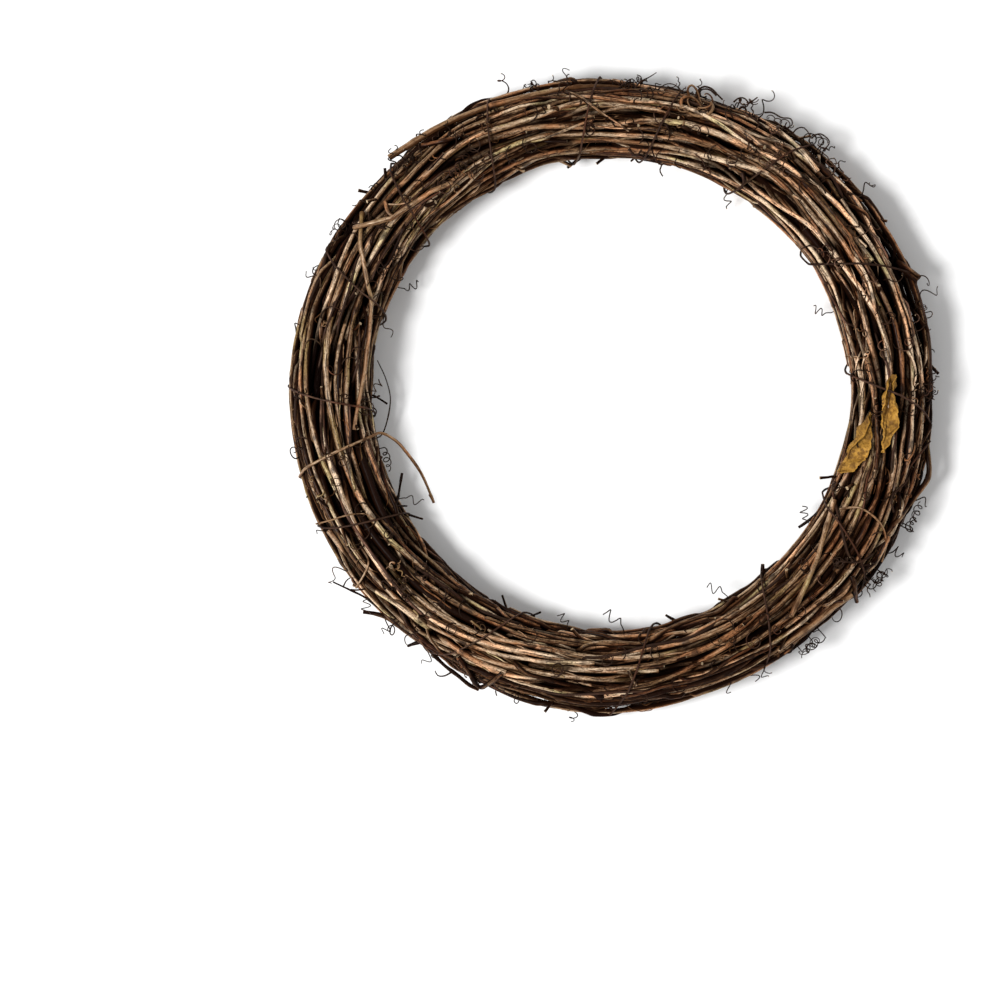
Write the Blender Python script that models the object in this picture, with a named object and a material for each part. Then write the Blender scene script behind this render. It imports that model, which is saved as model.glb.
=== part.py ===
"""A grapevine wreath, lying flat: long canes wound into a ring, held by thin vines wrapped about them.

The ring's axis is Z. Every cane is followed round the ring from station to station, a station being a half
plane that ends at the axis. In such a plane a point has two coordinates from the section's centre: u outwards
and v upwards. The canes are wound along simple coils, then eased apart until none touches another, as packed
rods settle. The loose sticks, the leaves and the vines are laid over them afterwards, and short shoots grow
from them.
"""

import math
import random
from collections import namedtuple

import bmesh
import bpy
import numpy as np
from mathutils import Vector
from mathutils.bvhtree import BVHTree

# Driving dimensions, in metres
HOLE_DIAMETER = 0.230
SECTION_WIDTH = 0.0374
WIDER_AT_SIDES = 0.0026
NARROWER_AT_TOP = 0.0012
SECTION_HEIGHT = 0.034
FOOT_DEPTH = 0.0156
FOOT_FLATTENED = 0.0002
GAP = 0.0003
SEED = 20
FULL_TURN = 2 * math.pi
UP = Vector((0, 0, 1))

# A layer is one closed coil, cut into canes: the turns that it makes, how many places all of them together
# move on round the section, how far out it lies as a share of the section, the canes' radius and its spread,
# and the number of canes and of a cane's sides
Layer = namedtuple("Layer", "name turns places share radius spread count sides")
LAYERS = (
    Layer("core_cane", 7, 2, 0.30, 0.0029, 0.0002, 3, 4),
    Layer("middle_cane", 14, -5, 0.66, 0.0021, 0.0002, 7, 4),
    Layer("outer_cane", 27, 8, 1.00, 0.00155, 0.0002, 24, 5),
)
STATIONS = 27
OVERLAP_STATIONS = 1
CUT_JITTER_TURNS = 0.25
BUTT, TIP = 1.1, 0.85
WANDER_ANGLE = 0.40
WANDER_OUT = 0.12
WANDER_OUT_WAVES = 1.85
WANDER_TURNS = (0.36, 0.66)

# Canes that spring out of the bundle: first and last angle round the ring, where round the section both ends
# lie, and how far out the start, the middle and the end lie as shares of the section
LooseCane = namedtuple("LooseCane", "name start end phi_start phi_end out_start out_middle out_end radius")
LOOSE_CANES = (
    LooseCane("bowed_cane_1", 2, 66, 12, 10, 0.95, 1.34, 0.95, 0.0014),
    LooseCane("bowed_cane_2", 78, 136, 25, 15, 0.95, 1.30, 0.98, 0.0014),
    LooseCane("bowed_cane_3", -128, -66, -12, -5, 0.95, 1.25, 1.00, 0.0015),
    LooseCane("stick_cane", 40, 129, 60, 18, 0.95, 1.05, 1.38, 0.0015),
)
LOOSE_SIDES = 5

# Sticks laid across the top, and the way each takes in plan, as degrees round the ring and millimetres from
# its axis
Stick = namedtuple("Stick", "name radius way")
CROSSING_STICKS = (
    Stick("crossing_stick_1", 0.0012, ((144, 147), (149, 140), (159, 123), (167, 119), (188, 124))),
    Stick("crossing_stick_2", 0.0014, ((147, 146), (141.5, 134), (131.5, 129), (127, 126))),
    Stick("crossing_stick_3", 0.0015, ((-25.5, 119.5), (-38, 127), (-51, 138))),
    Stick("crossing_stick_4", 0.0014, ((-40, 151), (-57, 148))),
)
STICK_SIDES = 5
STICK_TIP = 0.85
PLAN_STEP = 0.0005

# The thin vines wrapped round the bundle: the angle round the ring where each crosses the outer rim, and how
# many degrees it has moved on when it crosses the inner rim
TIES = (
    (111.7, 8.5),
    (91.4, 7.4),
    (75.7, 7.0),
    (50.4, 9.3),
    (20.4, 14.0),
    (-5.8, 11.6),
    (-38.0, 13.0),
    (-61.6, 12.3),
    (-89.9, 10.9),
    (-125.2, 15.0),
    (-155.5, 6.5),
    (178.7, 6.3),
    (152.5, 9.5),
    (133.6, 7.4),
)
TIE_RADIUS = 0.00075
TIE_SIDES = 4
TIE_STEP = 18
TIE_LOOK_STEP = 3
TIE_WRAP = (-126, 270)
TIE_FOOT = 0.005

# The one vine that springs free into the hole, its loose end as degrees round the ring, radius and height
FREE_VINE_RIM = 195.0
FREE_VINE_MOVE = -5.5
FREE_VINE_WRAP = (-54, 144)
FREE_VINE_END = (
    (190.0, 0.1120, 0.0125),
    (192.5, 0.1060, 0.0105),
    (196.0, 0.1025, 0.0085),
    (203.0, 0.0990, 0.0050),
    (211.0, 0.0998, 0.0015),
)

# Dry leaves on top of the bundle: both ends in plan, half width, curl of the edges in radians, and twist
Leaf = namedtuple("Leaf", "name start end half_width curl twist")
LEAVES = (
    Leaf("leaf_1", (4.2, 138.0), (-12.2, 134.0), 0.0048, 1.7, 0.5),
    Leaf("leaf_2", (-4.9, 124.5), (-20.5, 114.5), 0.0066, 1.0, -0.3),
)
LEAF_THICKNESS = 0.0007
LEAF_LONG_STEPS, LEAF_WIDE_STEPS = 10, 6
LEAF_TEETH = 0.10
LEAF_TIP_WIDTH = 0.12
LEAF_WIDEST = 0.8
LEAF_FELT_ALONG = (-0.8, -0.4, 0, 0.4, 0.8)
LEAF_FELT_ACROSS = (-1, -0.6, -0.2, 0.2, 0.6, 1)

# Shoots that grow from the outer canes, one in each sector of the ring: cut stubs, and curled tendrils
SHOOT_SECTORS = 36
TENDRIL_SECTORS = (0, 2)
SECTOR_CYCLE = 5
SHOOT_ABOVE = -0.007
SHOOT_REACH = 0.0085
CLEAR_OF_TIES = 4.0
SHOWN_WITHIN = 0.0005
STUB_LENGTH = (0.0045, 0.0085)
STUB_LEAN = (0.5, 1.1)
STUB_SHAPE = ((0.0, 0.55), (0.55, 0.50), (1.0, 0.62))
STUB_SIDES = 4
TENDRIL_RADIUS = 0.0005
TENDRIL_SIDES = 3
TENDRIL_POINTS = 13
TENDRIL_STALK = 0.0012
TENDRIL_CURL = (0.0017, 0.0027)
TENDRIL_NARROW_AT_FIRST = 0.45
TENDRIL_LENGTH = (0.007, 0.012)
TENDRIL_TURNS = (1.5, 2.3)
TENDRIL_LEAN = (0.75, 1.1)

# Easing the canes apart, in planes at these shares of the way from each station to the next
SHARES = tuple(n / 8 for n in range(8))
EASING_ROUNDS = 380
SETTLING_ROUNDS = 260
HELD_INSIDE_ROUNDS = 180
PULL_TO_COIL = 0.07
SMOOTHING = 0.22
PUSH = 0.42
PUSHED_GAP = 1.25 * GAP
THIN_AT_FIRST = 0.5
FULL_GROWN_AT = 0.8
LEAST_CLEARANCE = 0.0001

BARK = {
    "core_cane": (0.16, 0.085, 0.045),
    "middle_cane": (0.21, 0.115, 0.06),
    "outer_cane": (0.30, 0.16, 0.08),
    "bowed_cane": (0.33, 0.19, 0.095),
    "stick_cane": (0.36, 0.22, 0.12),
    "crossing_stick": (0.42, 0.27, 0.14),
    "tie": (0.10, 0.06, 0.045),
    "free_vine": (0.34, 0.23, 0.12),
    "leaf": (0.42, 0.27, 0.08),
}
BARK_ROUGHNESS = 0.62
SHARP_ANGLE = math.radians(80)


def ring_width(theta):
    """The bundle's width outwards at an angle round the ring: widest left and right, narrowest at the top."""
    return SECTION_WIDTH + WIDER_AT_SIDES * np.cos(2 * theta) - NARROWER_AT_TOP * np.sin(theta)


def ring_radius(theta):
    """From the ring's axis to the section's centre."""
    return HOLE_DIAMETER / 2 + ring_width(theta) / 2


def place(theta, u, v):
    """The point in space at an angle round the ring and (u, v) in the section there."""
    radius = ring_radius(theta) + u
    return Vector((radius * math.cos(theta), radius * math.sin(theta), v))


def section_of(point):
    """The angle round the ring, u and v of a point in space."""
    theta = math.atan2(point.y, point.x)
    return theta, math.hypot(point.x, point.y) - ring_radius(theta), point.z


def outward(theta, phi):
    """The direction in space that points out of the section at phi."""
    along = math.cos(phi)
    return Vector((along * math.cos(theta), along * math.sin(theta), math.sin(phi)))


def along_ring(theta):
    return Vector((-math.sin(theta), math.cos(theta), 0))


def plan_point(degrees, millimetres):
    theta = math.radians(degrees)
    return Vector((math.cos(theta), math.sin(theta), 0)) * (millimetres / 1000)


def signed(angle):
    """The same angle between minus half a turn and half a turn."""
    return (angle + math.pi) % FULL_TURN - math.pi


def dense(points, step):
    """The same path with points no further apart than this."""
    filled = []
    for a, b in zip(points, points[1:]):
        count = max(1, math.ceil((b - a).length / step))
        filled += [a.lerp(b, n / count) for n in range(count)]
    return filled + [points[-1]]


class Strand:
    """A cane as the disc that it fills in each station's plane that it passes through."""

    def __init__(self, name, first, sides, radii, wanted, room):
        self.name = name
        self.first = first
        self.sides = sides
        self.radii = np.array(radii)
        self.wanted = np.array(wanted)
        self.room = np.array(room)

    def angle(self, i):
        return FULL_TURN * (self.first + i) / STATIONS


def section_point(theta, phi, share, radius):
    """(u, v) of a disc that lies at this share of the way out to the section's edge, in the direction phi."""
    share -= radius / (SECTION_HEIGHT / 2)
    return share * ring_width(theta) / 2 * math.cos(phi), share * SECTION_HEIGHT / 2 * math.sin(phi)


def wound_strand(layer, name, first, length, phase, draw):
    """One cane of a layer, wandering to and fro about the layer's coil."""
    radius = layer.radius + draw.uniform(-1, 1) * layer.spread
    period = draw.uniform(*WANDER_TURNS) * STATIONS
    start = draw.uniform(0, FULL_TURN)
    start_out = draw.uniform(0, FULL_TURN)
    radii = []
    wanted = []
    for i in range(length + 1):
        theta = FULL_TURN * (first + i) / STATIONS
        wave = FULL_TURN * i / period
        phi = phase + theta * layer.places / layer.turns + WANDER_ANGLE * math.sin(wave + start)
        out = layer.share + WANDER_OUT * math.sin(WANDER_OUT_WAVES * wave + start_out)
        wanted.append(section_point(theta, phi, out, radius))
        radii.append(radius * (BUTT + (TIP - BUTT) * i / length))
    return Strand(name, first, layer.sides, radii, wanted, [1.0] * (length + 1))


def wound_strands(draw):
    """The canes of every layer: each layer's closed coil, cut at uneven lengths."""
    strands = []
    for layer in LAYERS:
        coil = layer.turns * STATIONS
        phase = draw.uniform(0, FULL_TURN)
        jitter = CUT_JITTER_TURNS * STATIONS
        cuts = [round(coil * n / layer.count + draw.uniform(-jitter, jitter)) for n in range(layer.count)]
        cuts.append(cuts[0] + coil)
        for n, (first, last) in enumerate(zip(cuts, cuts[1:])):
            name = f"{layer.name}_{n + 1:02d}"
            strands.append(wound_strand(layer, name, first, last - first + OVERLAP_STATIONS, phase, draw))
    return strands


def loose_strand(cane):
    """A cane that bows out of the bundle, or leaves it at one end."""
    first = round(cane.start / 360 * STATIONS)
    length = round(cane.end / 360 * STATIONS) - first
    wanted = []
    room = []
    for i in range(length + 1):
        t = i / length
        theta = FULL_TURN * (first + i) / STATIONS
        phi = math.radians(cane.phi_start + (cane.phi_end - cane.phi_start) * t)
        unbowed = cane.out_start + (cane.out_end - cane.out_start) * t**2
        rise = cane.out_middle - (3 * cane.out_start + cane.out_end) / 4
        out = unbowed + rise * 4 * t * (1 - t)
        wanted.append(section_point(theta, phi, out, cane.radius))
        room.append(max(1.0, out))
    return Strand(cane.name, first, LOOSE_SIDES, [cane.radius] * (length + 1), wanted, room)


class Packing:
    """The discs of all the canes together, and the pairs that pass through the same plane."""

    def __init__(self, strands):
        self.strands = strands
        self.wanted = np.concatenate([s.wanted for s in strands])
        self.at = self.wanted.copy()
        self.radii = np.concatenate([s.radii for s in strands])
        self.room = np.concatenate([s.room for s in strands])
        lengths = [len(s.radii) for s in strands]
        starts = np.cumsum([0] + lengths[:-1])
        self.slices = [slice(a, a + n) for a, n in zip(starts, lengths)]
        self.station = np.concatenate([(s.first + np.arange(len(s.radii))) % STATIONS for s in strands])
        self.inner = np.concatenate([np.arange(a + 1, a + n - 1) for a, n in zip(starts, lengths)])
        self.spans = np.concatenate([np.arange(a, a + n - 1) for a, n in zip(starts, lengths)])
        self.point_pairs = self.pairs_of(np.arange(len(self.at)))
        self.span_pairs = self.pairs_of(self.spans)
        theta = FULL_TURN * self.station / STATIONS
        self.half_width = ring_width(theta) / 2 * self.room
        self.half_height = SECTION_HEIGHT / 2 * self.room

    def pairs_of(self, items):
        first, second = [], []
        for k in range(STATIONS):
            here = items[self.station[items] == k]
            a, b = np.triu_indices(len(here), 1)
            first.append(here[a])
            second.append(here[b])
        return np.concatenate(first), np.concatenate(second)

    def pairs_at(self, share):
        """The pairs of discs in the planes this share of the way to the next station, the vector between each
        pair, and the radii of all the discs there."""
        at = self.at.copy()
        radii = self.radii.copy()
        at[self.spans] += share * (self.at[self.spans + 1] - self.at[self.spans])
        radii[self.spans] += share * (self.radii[self.spans + 1] - self.radii[self.spans])
        a, b = self.span_pairs if share else self.point_pairs
        return a, b, at[a] - at[b], radii

    def push_apart(self, share):
        a, b, between, radii = self.pairs_at(share)
        apart = np.maximum(np.linalg.norm(between, axis=1), 1e-9)
        short = radii[a] + radii[b] + PUSHED_GAP - apart
        near = short > 0
        a, b = a[near], b[near]
        push = between[near] / apart[near, None] * (PUSH * short[near])[:, None]
        weight = (radii[b] / (radii[a] + radii[b]))[:, None]
        moves = np.zeros_like(self.at)
        for ends, step in ((a, push * weight), (b, -push * (1 - weight))):
            for axis in (0, 1):
                moves[:, axis] += np.bincount(ends, step[:, axis], len(self.at))
        lever = (1 - share) ** 2 + share**2
        self.at += moves * (1 - share) / lever
        self.at[self.spans + 1] += moves[self.spans] * share / lever

    def push_all_apart(self):
        for share in SHARES:
            self.push_apart(share)

    def keep_inside(self):
        """Brings back what has left the bundle's outline."""
        u = self.at[:, 0] / (self.half_width - self.radii)
        v = self.at[:, 1] / (self.half_height - self.radii)
        self.at /= np.maximum(np.hypot(u, v), 1)[:, None]

    def keep_above_foot(self):
        self.at[:, 1] = np.maximum(self.at[:, 1], self.radii - FOOT_DEPTH)

    def smooth(self, amount):
        i = self.inner
        self.at[i] += amount * (self.at[i - 1] + self.at[i + 1] - 2 * self.at[i])

    def ease(self):
        """Grows the canes from thin to full while they are pushed apart, so that none is caught."""
        full = self.radii.copy()
        for n in range(EASING_ROUNDS):
            left = 1 - n / EASING_ROUNDS
            grown = min(1, (1 - left) / FULL_GROWN_AT)
            self.radii = full * (THIN_AT_FIRST + (1 - THIN_AT_FIRST) * grown)
            self.at += PULL_TO_COIL * left * (self.wanted - self.at)
            self.smooth(SMOOTHING * left)
            self.push_all_apart()
            self.keep_inside()
            self.keep_above_foot()
        for n in range(SETTLING_ROUNDS):
            self.push_all_apart()
            if n < HELD_INSIDE_ROUNDS:
                self.keep_inside()
            self.keep_above_foot()

    def tightest(self):
        found = []
        for share in SHARES:
            a, b, between, radii = self.pairs_at(share)
            found.append((np.linalg.norm(between, axis=1) - radii[a] - radii[b]).min())
        return min(found)


class Bundle:
    """The eased canes, and what has been laid over them, as a surface that the next thing can be laid on."""

    def __init__(self, packing):
        self.packing = packing
        self.beads = np.zeros((0, 4))

    def discs(self, theta):
        """(u, v, radius) of every cane in the plane at theta. A cane runs straight between two stations."""
        p = self.packing
        step = FULL_TURN / STATIONS
        turn = theta / step % STATIONS
        k = int(turn)
        past = (turn - k) * step
        i = p.spans[p.station[p.spans] == k]
        out_here = ring_radius(k * step) + p.at[i, 0]
        out_there = ring_radius((k + 1) * step) + p.at[i + 1, 0]
        whole = out_here * math.sin(past) + out_there * math.sin(step - past)
        t = out_here * math.sin(past) / whole
        u = out_here * out_there * math.sin(step) / whole - ring_radius(theta)
        v = (1 - t) * p.at[i, 1] + t * p.at[i + 1, 1]
        return u, v, (1 - t) * p.radii[i] + t * p.radii[i + 1]

    def obstacles(self, theta, ball):
        """(u, v, need) of all that lies near the plane at theta: a ball's centre stays need away from it."""
        u, v, radii = self.discs(theta)
        aside = ((self.beads[:, 0] - theta + math.pi) % FULL_TURN - math.pi) * ring_radius(theta)
        room = self.beads[:, 3] + ball + GAP
        near = np.abs(aside) < room
        u = np.concatenate([u, self.beads[near, 1]])
        v = np.concatenate([v, self.beads[near, 2]])
        bead_need = np.sqrt(room[near] ** 2 - aside[near] ** 2)
        return u, v, np.concatenate([radii + ball + GAP, bead_need])

    def reach(self, theta, phi, ball):
        """How far from the section's centre a ball lies when it rests on the bundle in the direction phi."""
        u, v, need = self.obstacles(theta, ball)
        along = u * math.cos(phi) + v * math.sin(phi)
        off = u * math.sin(phi) - v * math.cos(phi)
        return furthest(along, off, need, 0.0)

    def rest_height(self, point, ball):
        """How high a ball's centre lies when it is set down on the bundle over this point."""
        theta, u_wanted, _ = section_of(point)
        u, v, need = self.obstacles(theta, ball)
        return furthest(v, u - u_wanted, need, -SECTION_HEIGHT / 2)

    def add_beads(self, points, radius):
        rows = [(*section_of(p), radius) for p in points]
        self.beads = np.concatenate([self.beads, np.array(rows)])


def furthest(along, off, need, otherwise):
    """How far along a line a ball stops at the last of the obstacles, which lie this far along and off it."""
    hit = np.abs(off) < need
    if not hit.any():
        return otherwise
    return float((along[hit] + np.sqrt(need[hit] ** 2 - off[hit] ** 2)).max())


def new_object(name, mesh):
    obj = bpy.data.objects.new(name, mesh)
    bpy.context.scene.collection.objects.link(obj)
    return obj


def bake_modifiers(obj):
    """Puts the shape that the object's modifiers make in its mesh."""
    graph = bpy.context.evaluated_depsgraph_get()
    baked = bpy.data.meshes.new_from_object(obj.evaluated_get(graph))
    obj.modifiers.clear()
    obj.data = baked


def tube_faces(ring_count, sides):
    """The faces of a tube whose corners are numbered ring by ring, as tuples of corners."""
    faces = [tuple(reversed(range(sides)))]
    for i in range(ring_count - 1):
        for j in range(sides):
            a = i * sides + j
            b = i * sides + (j + 1) % sides
            faces.append((a, b, b + sides, a + sides))
    last = (ring_count - 1) * sides
    faces.append(tuple(range(last, last + sides)))
    return faces


def tube_object(name, rings):
    """A closed tube through rings of points, with a flat face across each end."""
    bm = bmesh.new()
    corners = [bm.verts.new(p) for ring in rings for p in ring]
    for face in tube_faces(len(rings), len(rings[0])):
        bm.faces.new([corners[i] for i in face])
    bmesh.ops.recalc_face_normals(bm, faces=bm.faces)
    mesh = bpy.data.meshes.new(name)
    bm.to_mesh(mesh)
    bm.free()
    return new_object(name, mesh)


def round_rings(points, radii, sides, outwards):
    """Outlines square to a path, each with a flat side facing outwards."""
    rings = []
    for i, point in enumerate(points):
        ahead = points[min(i + 1, len(points) - 1)] - points[max(i - 1, 0)]
        across = ahead.cross(outwards[i]).normalized()
        out = across.cross(ahead).normalized()
        ring = []
        for j in range(sides):
            turn = FULL_TURN * (j + 0.5) / sides
            ring.append(point + float(radii[i]) * (out * math.cos(turn) + across * math.sin(turn)))
        rings.append(ring)
    return rings


def make_canes(packing, draw):
    """Every cane as a tube whose outline in each station's plane lies in its disc."""
    for strand, part in zip(packing.strands, packing.slices):
        turn = draw.uniform(0, FULL_TURN)
        rings = []
        for i, ((u, v), radius) in enumerate(zip(packing.at[part], packing.radii[part])):
            corners = [turn + FULL_TURN * j / strand.sides for j in range(strand.sides)]
            theta = strand.angle(i)
            rings.append([place(theta, u + radius * math.cos(c), v + radius * math.sin(c)) for c in corners])
        tube_object(strand.name, rings)


def taut_over(distances, heights):
    """Which of these points a string pulled tight over the top of them touches."""
    kept = []
    for i in range(len(distances)):
        while len(kept) > 1:
            a, b = kept[-2], kept[-1]
            rise = (heights[b] - heights[a]) * (distances[i] - distances[a])
            if rise > (heights[i] - heights[a]) * (distances[b] - distances[a]):
                break
            kept.pop()
        kept.append(i)
    return kept


def lay_stick(bundle, stick):
    """A stick lying across the top of the canes, touching only the highest of them."""
    corners = [plan_point(*spot) for spot in stick.way]
    path = dense(corners, PLAN_STEP)
    distances = np.cumsum([0] + [(b - a).length for a, b in zip(path, path[1:])])
    heights = np.array([bundle.rest_height(p, stick.radius) for p in path])
    kept = taut_over(distances, heights)
    tight = np.interp(distances, distances[kept], heights[kept])
    chosen = [0]
    for i in range(1, len(path)):
        run = distances[i] - distances[chosen[-1]]
        if path[i] in corners or (run > stick.radius and i in kept):
            chosen.append(i)
    points = [Vector((path[i].x, path[i].y, tight[i])) for i in chosen]
    taper = np.linspace(stick.radius, stick.radius * STICK_TIP, len(points))
    tube_object(stick.name, round_rings(points, taper, STICK_SIDES, [UP] * len(points)))
    bundle.add_beads(dense(points, stick.radius / 2), stick.radius)


def wrap_angle(rim_angle, move, phi):
    """Where round the ring a vine is when it has come to phi round the section."""
    return math.radians(rim_angle) + math.radians(move) * phi / math.pi


def tight_supports(bundle, rim_angle, move, facings, foot):
    """How far out a vine pulled tight lies, for each direction that a stretch of it faces."""
    first, last = facings[0] - math.pi / 2, facings[-1] + math.pi / 2
    looks = np.arange(first, last, math.radians(TIE_LOOK_STEP))
    reaches = [bundle.reach(wrap_angle(rim_angle, move, phi), phi, TIE_RADIUS) for phi in looks]
    floor = -(FOOT_DEPTH + GAP + TIE_RADIUS)
    supports = []
    for facing in facings:
        seen = np.cos(looks - facing) * (np.abs(looks - facing) < math.pi / 2)
        support = (reaches * seen).max()
        if foot:
            support = max(support, foot * abs(math.cos(facing)) + floor * math.sin(facing))
        supports.append(support)
    return supports


def wrapped_points(bundle, rim_angle, move, wrap, foot):
    """Corners of a vine pulled tight round the bundle as it moves on round the ring, and the ways out there.

    The foot is half the width of a flat that the vine also goes under, so that all such vines reach down
    equally far.
    """
    facings = [math.radians(d) for d in range(wrap[0], wrap[1] + 1, TIE_STEP)]
    supports = tight_supports(bundle, rim_angle, move, facings, foot)
    points, outs = [], []
    for a, b, near, far in zip(facings, facings[1:], supports, supports[1:]):
        u = (near * math.sin(b) - far * math.sin(a)) / math.sin(b - a)
        v = (far * math.cos(a) - near * math.cos(b)) / math.sin(b - a)
        middle = (a + b) / 2
        theta = wrap_angle(rim_angle, move, middle + signed(math.atan2(v, u) - middle))
        points.append(place(theta, u, v))
        outs.append(outward(theta, middle))
    return points, outs


def make_vine(bundle, name, points, outs):
    tube_object(name, round_rings(points, [TIE_RADIUS] * len(points), TIE_SIDES, outs))
    bundle.add_beads(dense(points, TIE_RADIUS), TIE_RADIUS)


def wrap_vines(bundle):
    """The vines that hold the canes together, and the one whose end springs free into the hole."""
    for n, (rim_angle, move) in enumerate(TIES):
        points, outs = wrapped_points(bundle, rim_angle, move, TIE_WRAP, TIE_FOOT)
        make_vine(bundle, f"tie_{n + 1:02d}", points, outs)
    points, outs = wrapped_points(bundle, FREE_VINE_RIM, FREE_VINE_MOVE, FREE_VINE_WRAP, 0)
    for degrees, radius, height in FREE_VINE_END:
        points.append(plan_point(degrees, radius * 1000) + height * UP)
        outs.append(UP)
    make_vine(bundle, "free_vine", points, outs)


def leaf_row(bundle, leaf, i):
    """The points across a leaf at one of its steps, resting on what lies under it there."""
    start, end = plan_point(*leaf.start), plan_point(*leaf.end)
    side = (end - start).normalized().cross(UP)
    t = i / LEAF_LONG_STEPS
    shape = LEAF_TIP_WIDTH + (1 - LEAF_TIP_WIDTH) * math.sin(math.pi * t**LEAF_WIDEST) ** LEAF_WIDEST
    width = leaf.half_width * shape * (1 + LEAF_TEETH * (-1) ** i)
    under = [
        start.lerp(end, t + along / LEAF_LONG_STEPS) + side * (width * across)
        for along in LEAF_FELT_ALONG
        for across in LEAF_FELT_ACROSS
    ]
    base = max(bundle.rest_height(p, LEAF_THICKNESS / 2) for p in under)
    lean = leaf.twist * (t - 0.5)
    row = []
    for j in range(LEAF_WIDE_STEPS + 1):
        bend = lean + leaf.curl * (2 * j / LEAF_WIDE_STEPS - 1)
        aside = width / leaf.curl * (math.sin(bend) - math.sin(lean))
        lift = width / leaf.curl * (1 - math.cos(bend))
        row.append(start.lerp(end, t) + side * aside + UP * (base + lift))
    return row


def lay_leaf(bundle, leaf):
    """A dry leaf lying on the canes, its toothed edges curling up and over."""
    rows = [leaf_row(bundle, leaf, i) for i in range(LEAF_LONG_STEPS + 1)]
    bm = bmesh.new()
    grid = [[bm.verts.new(p) for p in row] for row in rows]
    for a, b in zip(grid, grid[1:]):
        for j in range(LEAF_WIDE_STEPS):
            bm.faces.new((a[j], a[j + 1], b[j + 1], b[j]))
    bmesh.ops.triangulate(bm, faces=bm.faces)
    mesh = bpy.data.meshes.new(leaf.name)
    bm.to_mesh(mesh)
    bm.free()
    obj = new_object(leaf.name, mesh)
    wall = obj.modifiers.new("Thickness", "SOLIDIFY")
    wall.thickness = LEAF_THICKNESS
    wall.offset = 0
    bake_modifiers(obj)
    for row in rows:
        bundle.add_beads(dense(row, LEAF_THICKNESS), LEAF_THICKNESS)
    for a, b in zip(rows, rows[1:]):
        bundle.add_beads([(p + q) / 2 for p, q in zip(a, b)], LEAF_THICKNESS)


Spot = namedtuple("Spot", "cane point theta phi radius")


def near_a_tie(theta, phi):
    for rim_angle, move in TIES:
        away = signed(theta - wrap_angle(rim_angle, move, phi))
        if abs(math.degrees(away)) < CLEAR_OF_TIES:
            return True
    return False


def exposed_spots(bundle, draw):
    """Places halfway between stations on the outside of the bundle, away from the ties, in a seeded order."""
    packing = bundle.packing
    found = []
    for strand, part in zip(packing.strands, packing.slices):
        if not strand.name.startswith(("outer_cane", "bowed_cane")):
            continue
        at, radii = packing.at[part], packing.radii[part]
        for i in range(1, len(radii) - 2):
            point = (place(strand.angle(i), *at[i]) + place(strand.angle(i + 1), *at[i + 1])) / 2
            theta, u, v = section_of(point)
            radius = float(radii[i] + radii[i + 1]) / 2
            phi = math.atan2(v, u)
            shown = bundle.reach(theta, phi, 0.0) < math.hypot(u, v) + radius + SHOWN_WITHIN
            if shown and v > SHOOT_ABOVE and not near_a_tie(theta, phi):
                found.append(Spot(strand.name, point, theta, phi, radius))
    draw.shuffle(found)
    return found


def stub_path(spot, draw):
    """A cut side shoot that leans along the cane that it grows from."""
    along = along_ring(spot.theta) * draw.choice((-1, 1))
    heading = (outward(spot.theta, spot.phi) + along * draw.uniform(*STUB_LEAN)).normalized()
    length = spot.radius + draw.uniform(*STUB_LENGTH)
    points = [spot.point + heading * (length * far) for far, _ in STUB_SHAPE]
    radii = [spot.radius * thick for _, thick in STUB_SHAPE]
    return points, radii, STUB_SIDES, [along] * len(points)


def tendril_path(spot, draw):
    """A tendril that stands off its cane and curls like a corkscrew."""
    out = outward(spot.theta, spot.phi)
    along = along_ring(spot.theta) * draw.choice((-1, 1))
    axis = (out * draw.uniform(*TENDRIL_LEAN) + along).normalized()
    side = axis.cross(out).normalized()
    up = side.cross(axis).normalized()
    curl = draw.uniform(*TENDRIL_CURL)
    length = draw.uniform(*TENDRIL_LENGTH)
    turns = draw.uniform(*TENDRIL_TURNS)
    start = spot.point + out * (spot.radius + curl + TENDRIL_STALK)
    points = [spot.point, spot.point + out * (spot.radius + TENDRIL_STALK / 2)]
    outs = [side, side]
    for i in range(TENDRIL_POINTS):
        t = i / (TENDRIL_POINTS - 1)
        turn = FULL_TURN * turns * t
        wide = curl * min(1, TENDRIL_NARROW_AT_FIRST + t)
        points.append(start + axis * (length * t) + (side * math.sin(turn) - up * math.cos(turn)) * wide)
        outs.append(side * math.cos(turn) + up * math.sin(turn))
    return points, [TENDRIL_RADIUS] * len(points), TENDRIL_SIDES, outs


class Neighbours:
    """The pieces made so far, to tell whether a shoot would touch one of them."""

    def __init__(self):
        self.trees = {}
        for obj in bpy.data.objects:
            corners = [v.co for v in obj.data.vertices]
            faces = [p.vertices[:] for p in obj.data.polygons]
            self.trees[obj.name] = [BVHTree.FromPolygons(corners, faces)]

    def tree_of(self, rings):
        corners = [p for ring in rings for p in ring]
        return BVHTree.FromPolygons(corners, tube_faces(len(rings), len(rings[0])))

    def touched(self, rings, own):
        tree = self.tree_of(rings)
        others = [t for name, trees in self.trees.items() if name != own for t in trees]
        return any(tree.overlap(t) for t in others)

    def add(self, rings, own):
        self.trees[own].append(self.tree_of(rings))


def within_reach(points):
    """Whether none of these points stands further out of the ring than the shoots may."""
    for point in points:
        theta, u, _ = section_of(point)
        if u > ring_width(theta) / 2 + SHOOT_REACH:
            return False
    return True


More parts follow.
